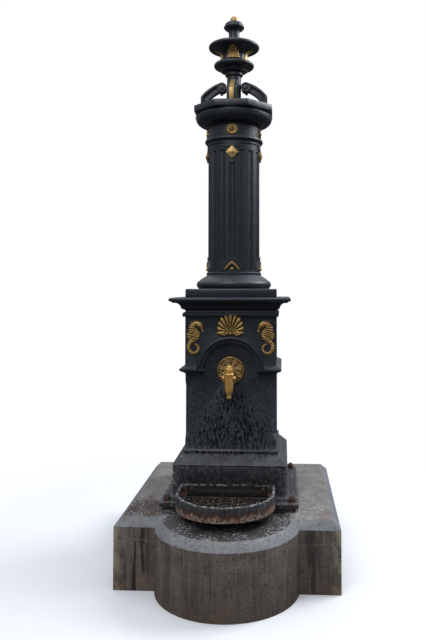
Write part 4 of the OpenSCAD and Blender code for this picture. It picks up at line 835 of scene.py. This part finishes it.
# --------------------------------------------------- Bolts, nuts and studs
# Rusted studs and nuts on the foot flange; zinc-plated bolts, screws and tie rod inside.
rusty = Finish("rusted_steel", roughness=0.75)
rusty_tone = rusty.noise(120, 5)
rusty.colour(rusty.mix(rusty.grade(rusty_tone, 0.35, 0.65), (0.022, 0.015, 0.012), (0.105, 0.048, 0.026)))
rusty.relief((rusty_tone, 0.001))
skin("anchor_nuts", "rusted_nuts", rusty, 0.0008)
skin("anchor_studs", "rusted_studs", rusty, 0.0008)
zinc = Finish("dull_zinc", roughness=0.45, metallic=0.85)
zinc_tone = zinc.noise(90, 4)
zinc.colour(zinc.mix(zinc.grade(zinc_tone, 0.35, 0.65), (0.14, 0.14, 0.14), (0.30, 0.30, 0.29)))
zinc.roughen(zinc.grade(zinc_tone, 0.3, 0.7, 0.38, 0.60))
skin("tray_bolts", "tray_fixing_bolts", rusty, 0.0006)


def coat(nodes, finish):
    """Gives CAD nodes that are right as they are their finish."""
    for node in nodes:
        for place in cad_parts[node].material_slots:
            place.material = finish.material


coat(("body_tie_bolts", "cornice_screws", "tie_rod"), zinc)

# The return spring stands on the barrel's ledge, under the button that comes down on it, and gets a mesh of
# its own
spring = skin("tap_spring", "return_spring", zinc)
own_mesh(spring)

# ------------------------------------------------------ Works inside the body
# Oxidised copper pipe rises from the duct through a brass stop valve with a red lever to the
# tap's tail; a grey waste pipe drops from the tray through the stone.
copper = Finish("oxidised_copper", roughness=0.45, metallic=0.8)
copper_tone = copper.noise(30, 5)
copper.colour(copper.mix(copper.grade(copper_tone, 0.35, 0.65), (0.16, 0.075, 0.045), (0.36, 0.17, 0.10)))
copper.roughen(copper.grade(copper_tone, 0.3, 0.7, 0.35, 0.6))
coat(("supply_pipe", "riser_pipe"), copper)
coat(("supply_elbow", "stop_valve_body", "tap_backnut", "tap_spindle"), brass)
waste = Finish("grey_waste_pipe", roughness=0.55)
waste_tone = waste.noise(18, 4)
waste.colour(waste.mix(waste.grade(waste_tone, 0.3, 0.7), (0.085, 0.088, 0.092), (0.13, 0.135, 0.14)))
coat(("drain_pipe",), waste)
rubber = Finish("black_rubber", roughness=0.7)
rubber_tone = rubber.noise(150, 3)
rubber.colour(rubber.mix(rubber.grade(rubber_tone, 0.3, 0.7), (0.010, 0.010, 0.010), (0.022, 0.022, 0.022)))
coat(("tap_seal", "tap_washer"), rubber)
lever = Finish("red_dipped_lever", roughness=0.4)
lever_tone = lever.noise(60, 4)
dipped = lever.mix(lever.grade(lever_tone, 0.3, 0.7), (0.23, 0.020, 0.014), (0.36, 0.035, 0.022))
lever.colour(lever.mix(lever.times(lever.edge(0.0015, 6), 0.6), dipped, (0.30, 0.28, 0.26)))
skin("stop_valve_lever", "red_lever", lever, 0.0008, "valve_lever")

# ----------------------------------------------------------- Service door
# A plain cast door in the back, on two rivetted butt hinges, with a quarter-turn square-key
# lock. The door, its hinges and the lock are painted or plated like the rest.
skin("service_door", "back_door", iron, 0.0012, "door")
skin("door_hinges", "butt_hinges", iron, 0.0006)
skin("door_lock", "square_key_lock", zinc, 0.0006, "lock")
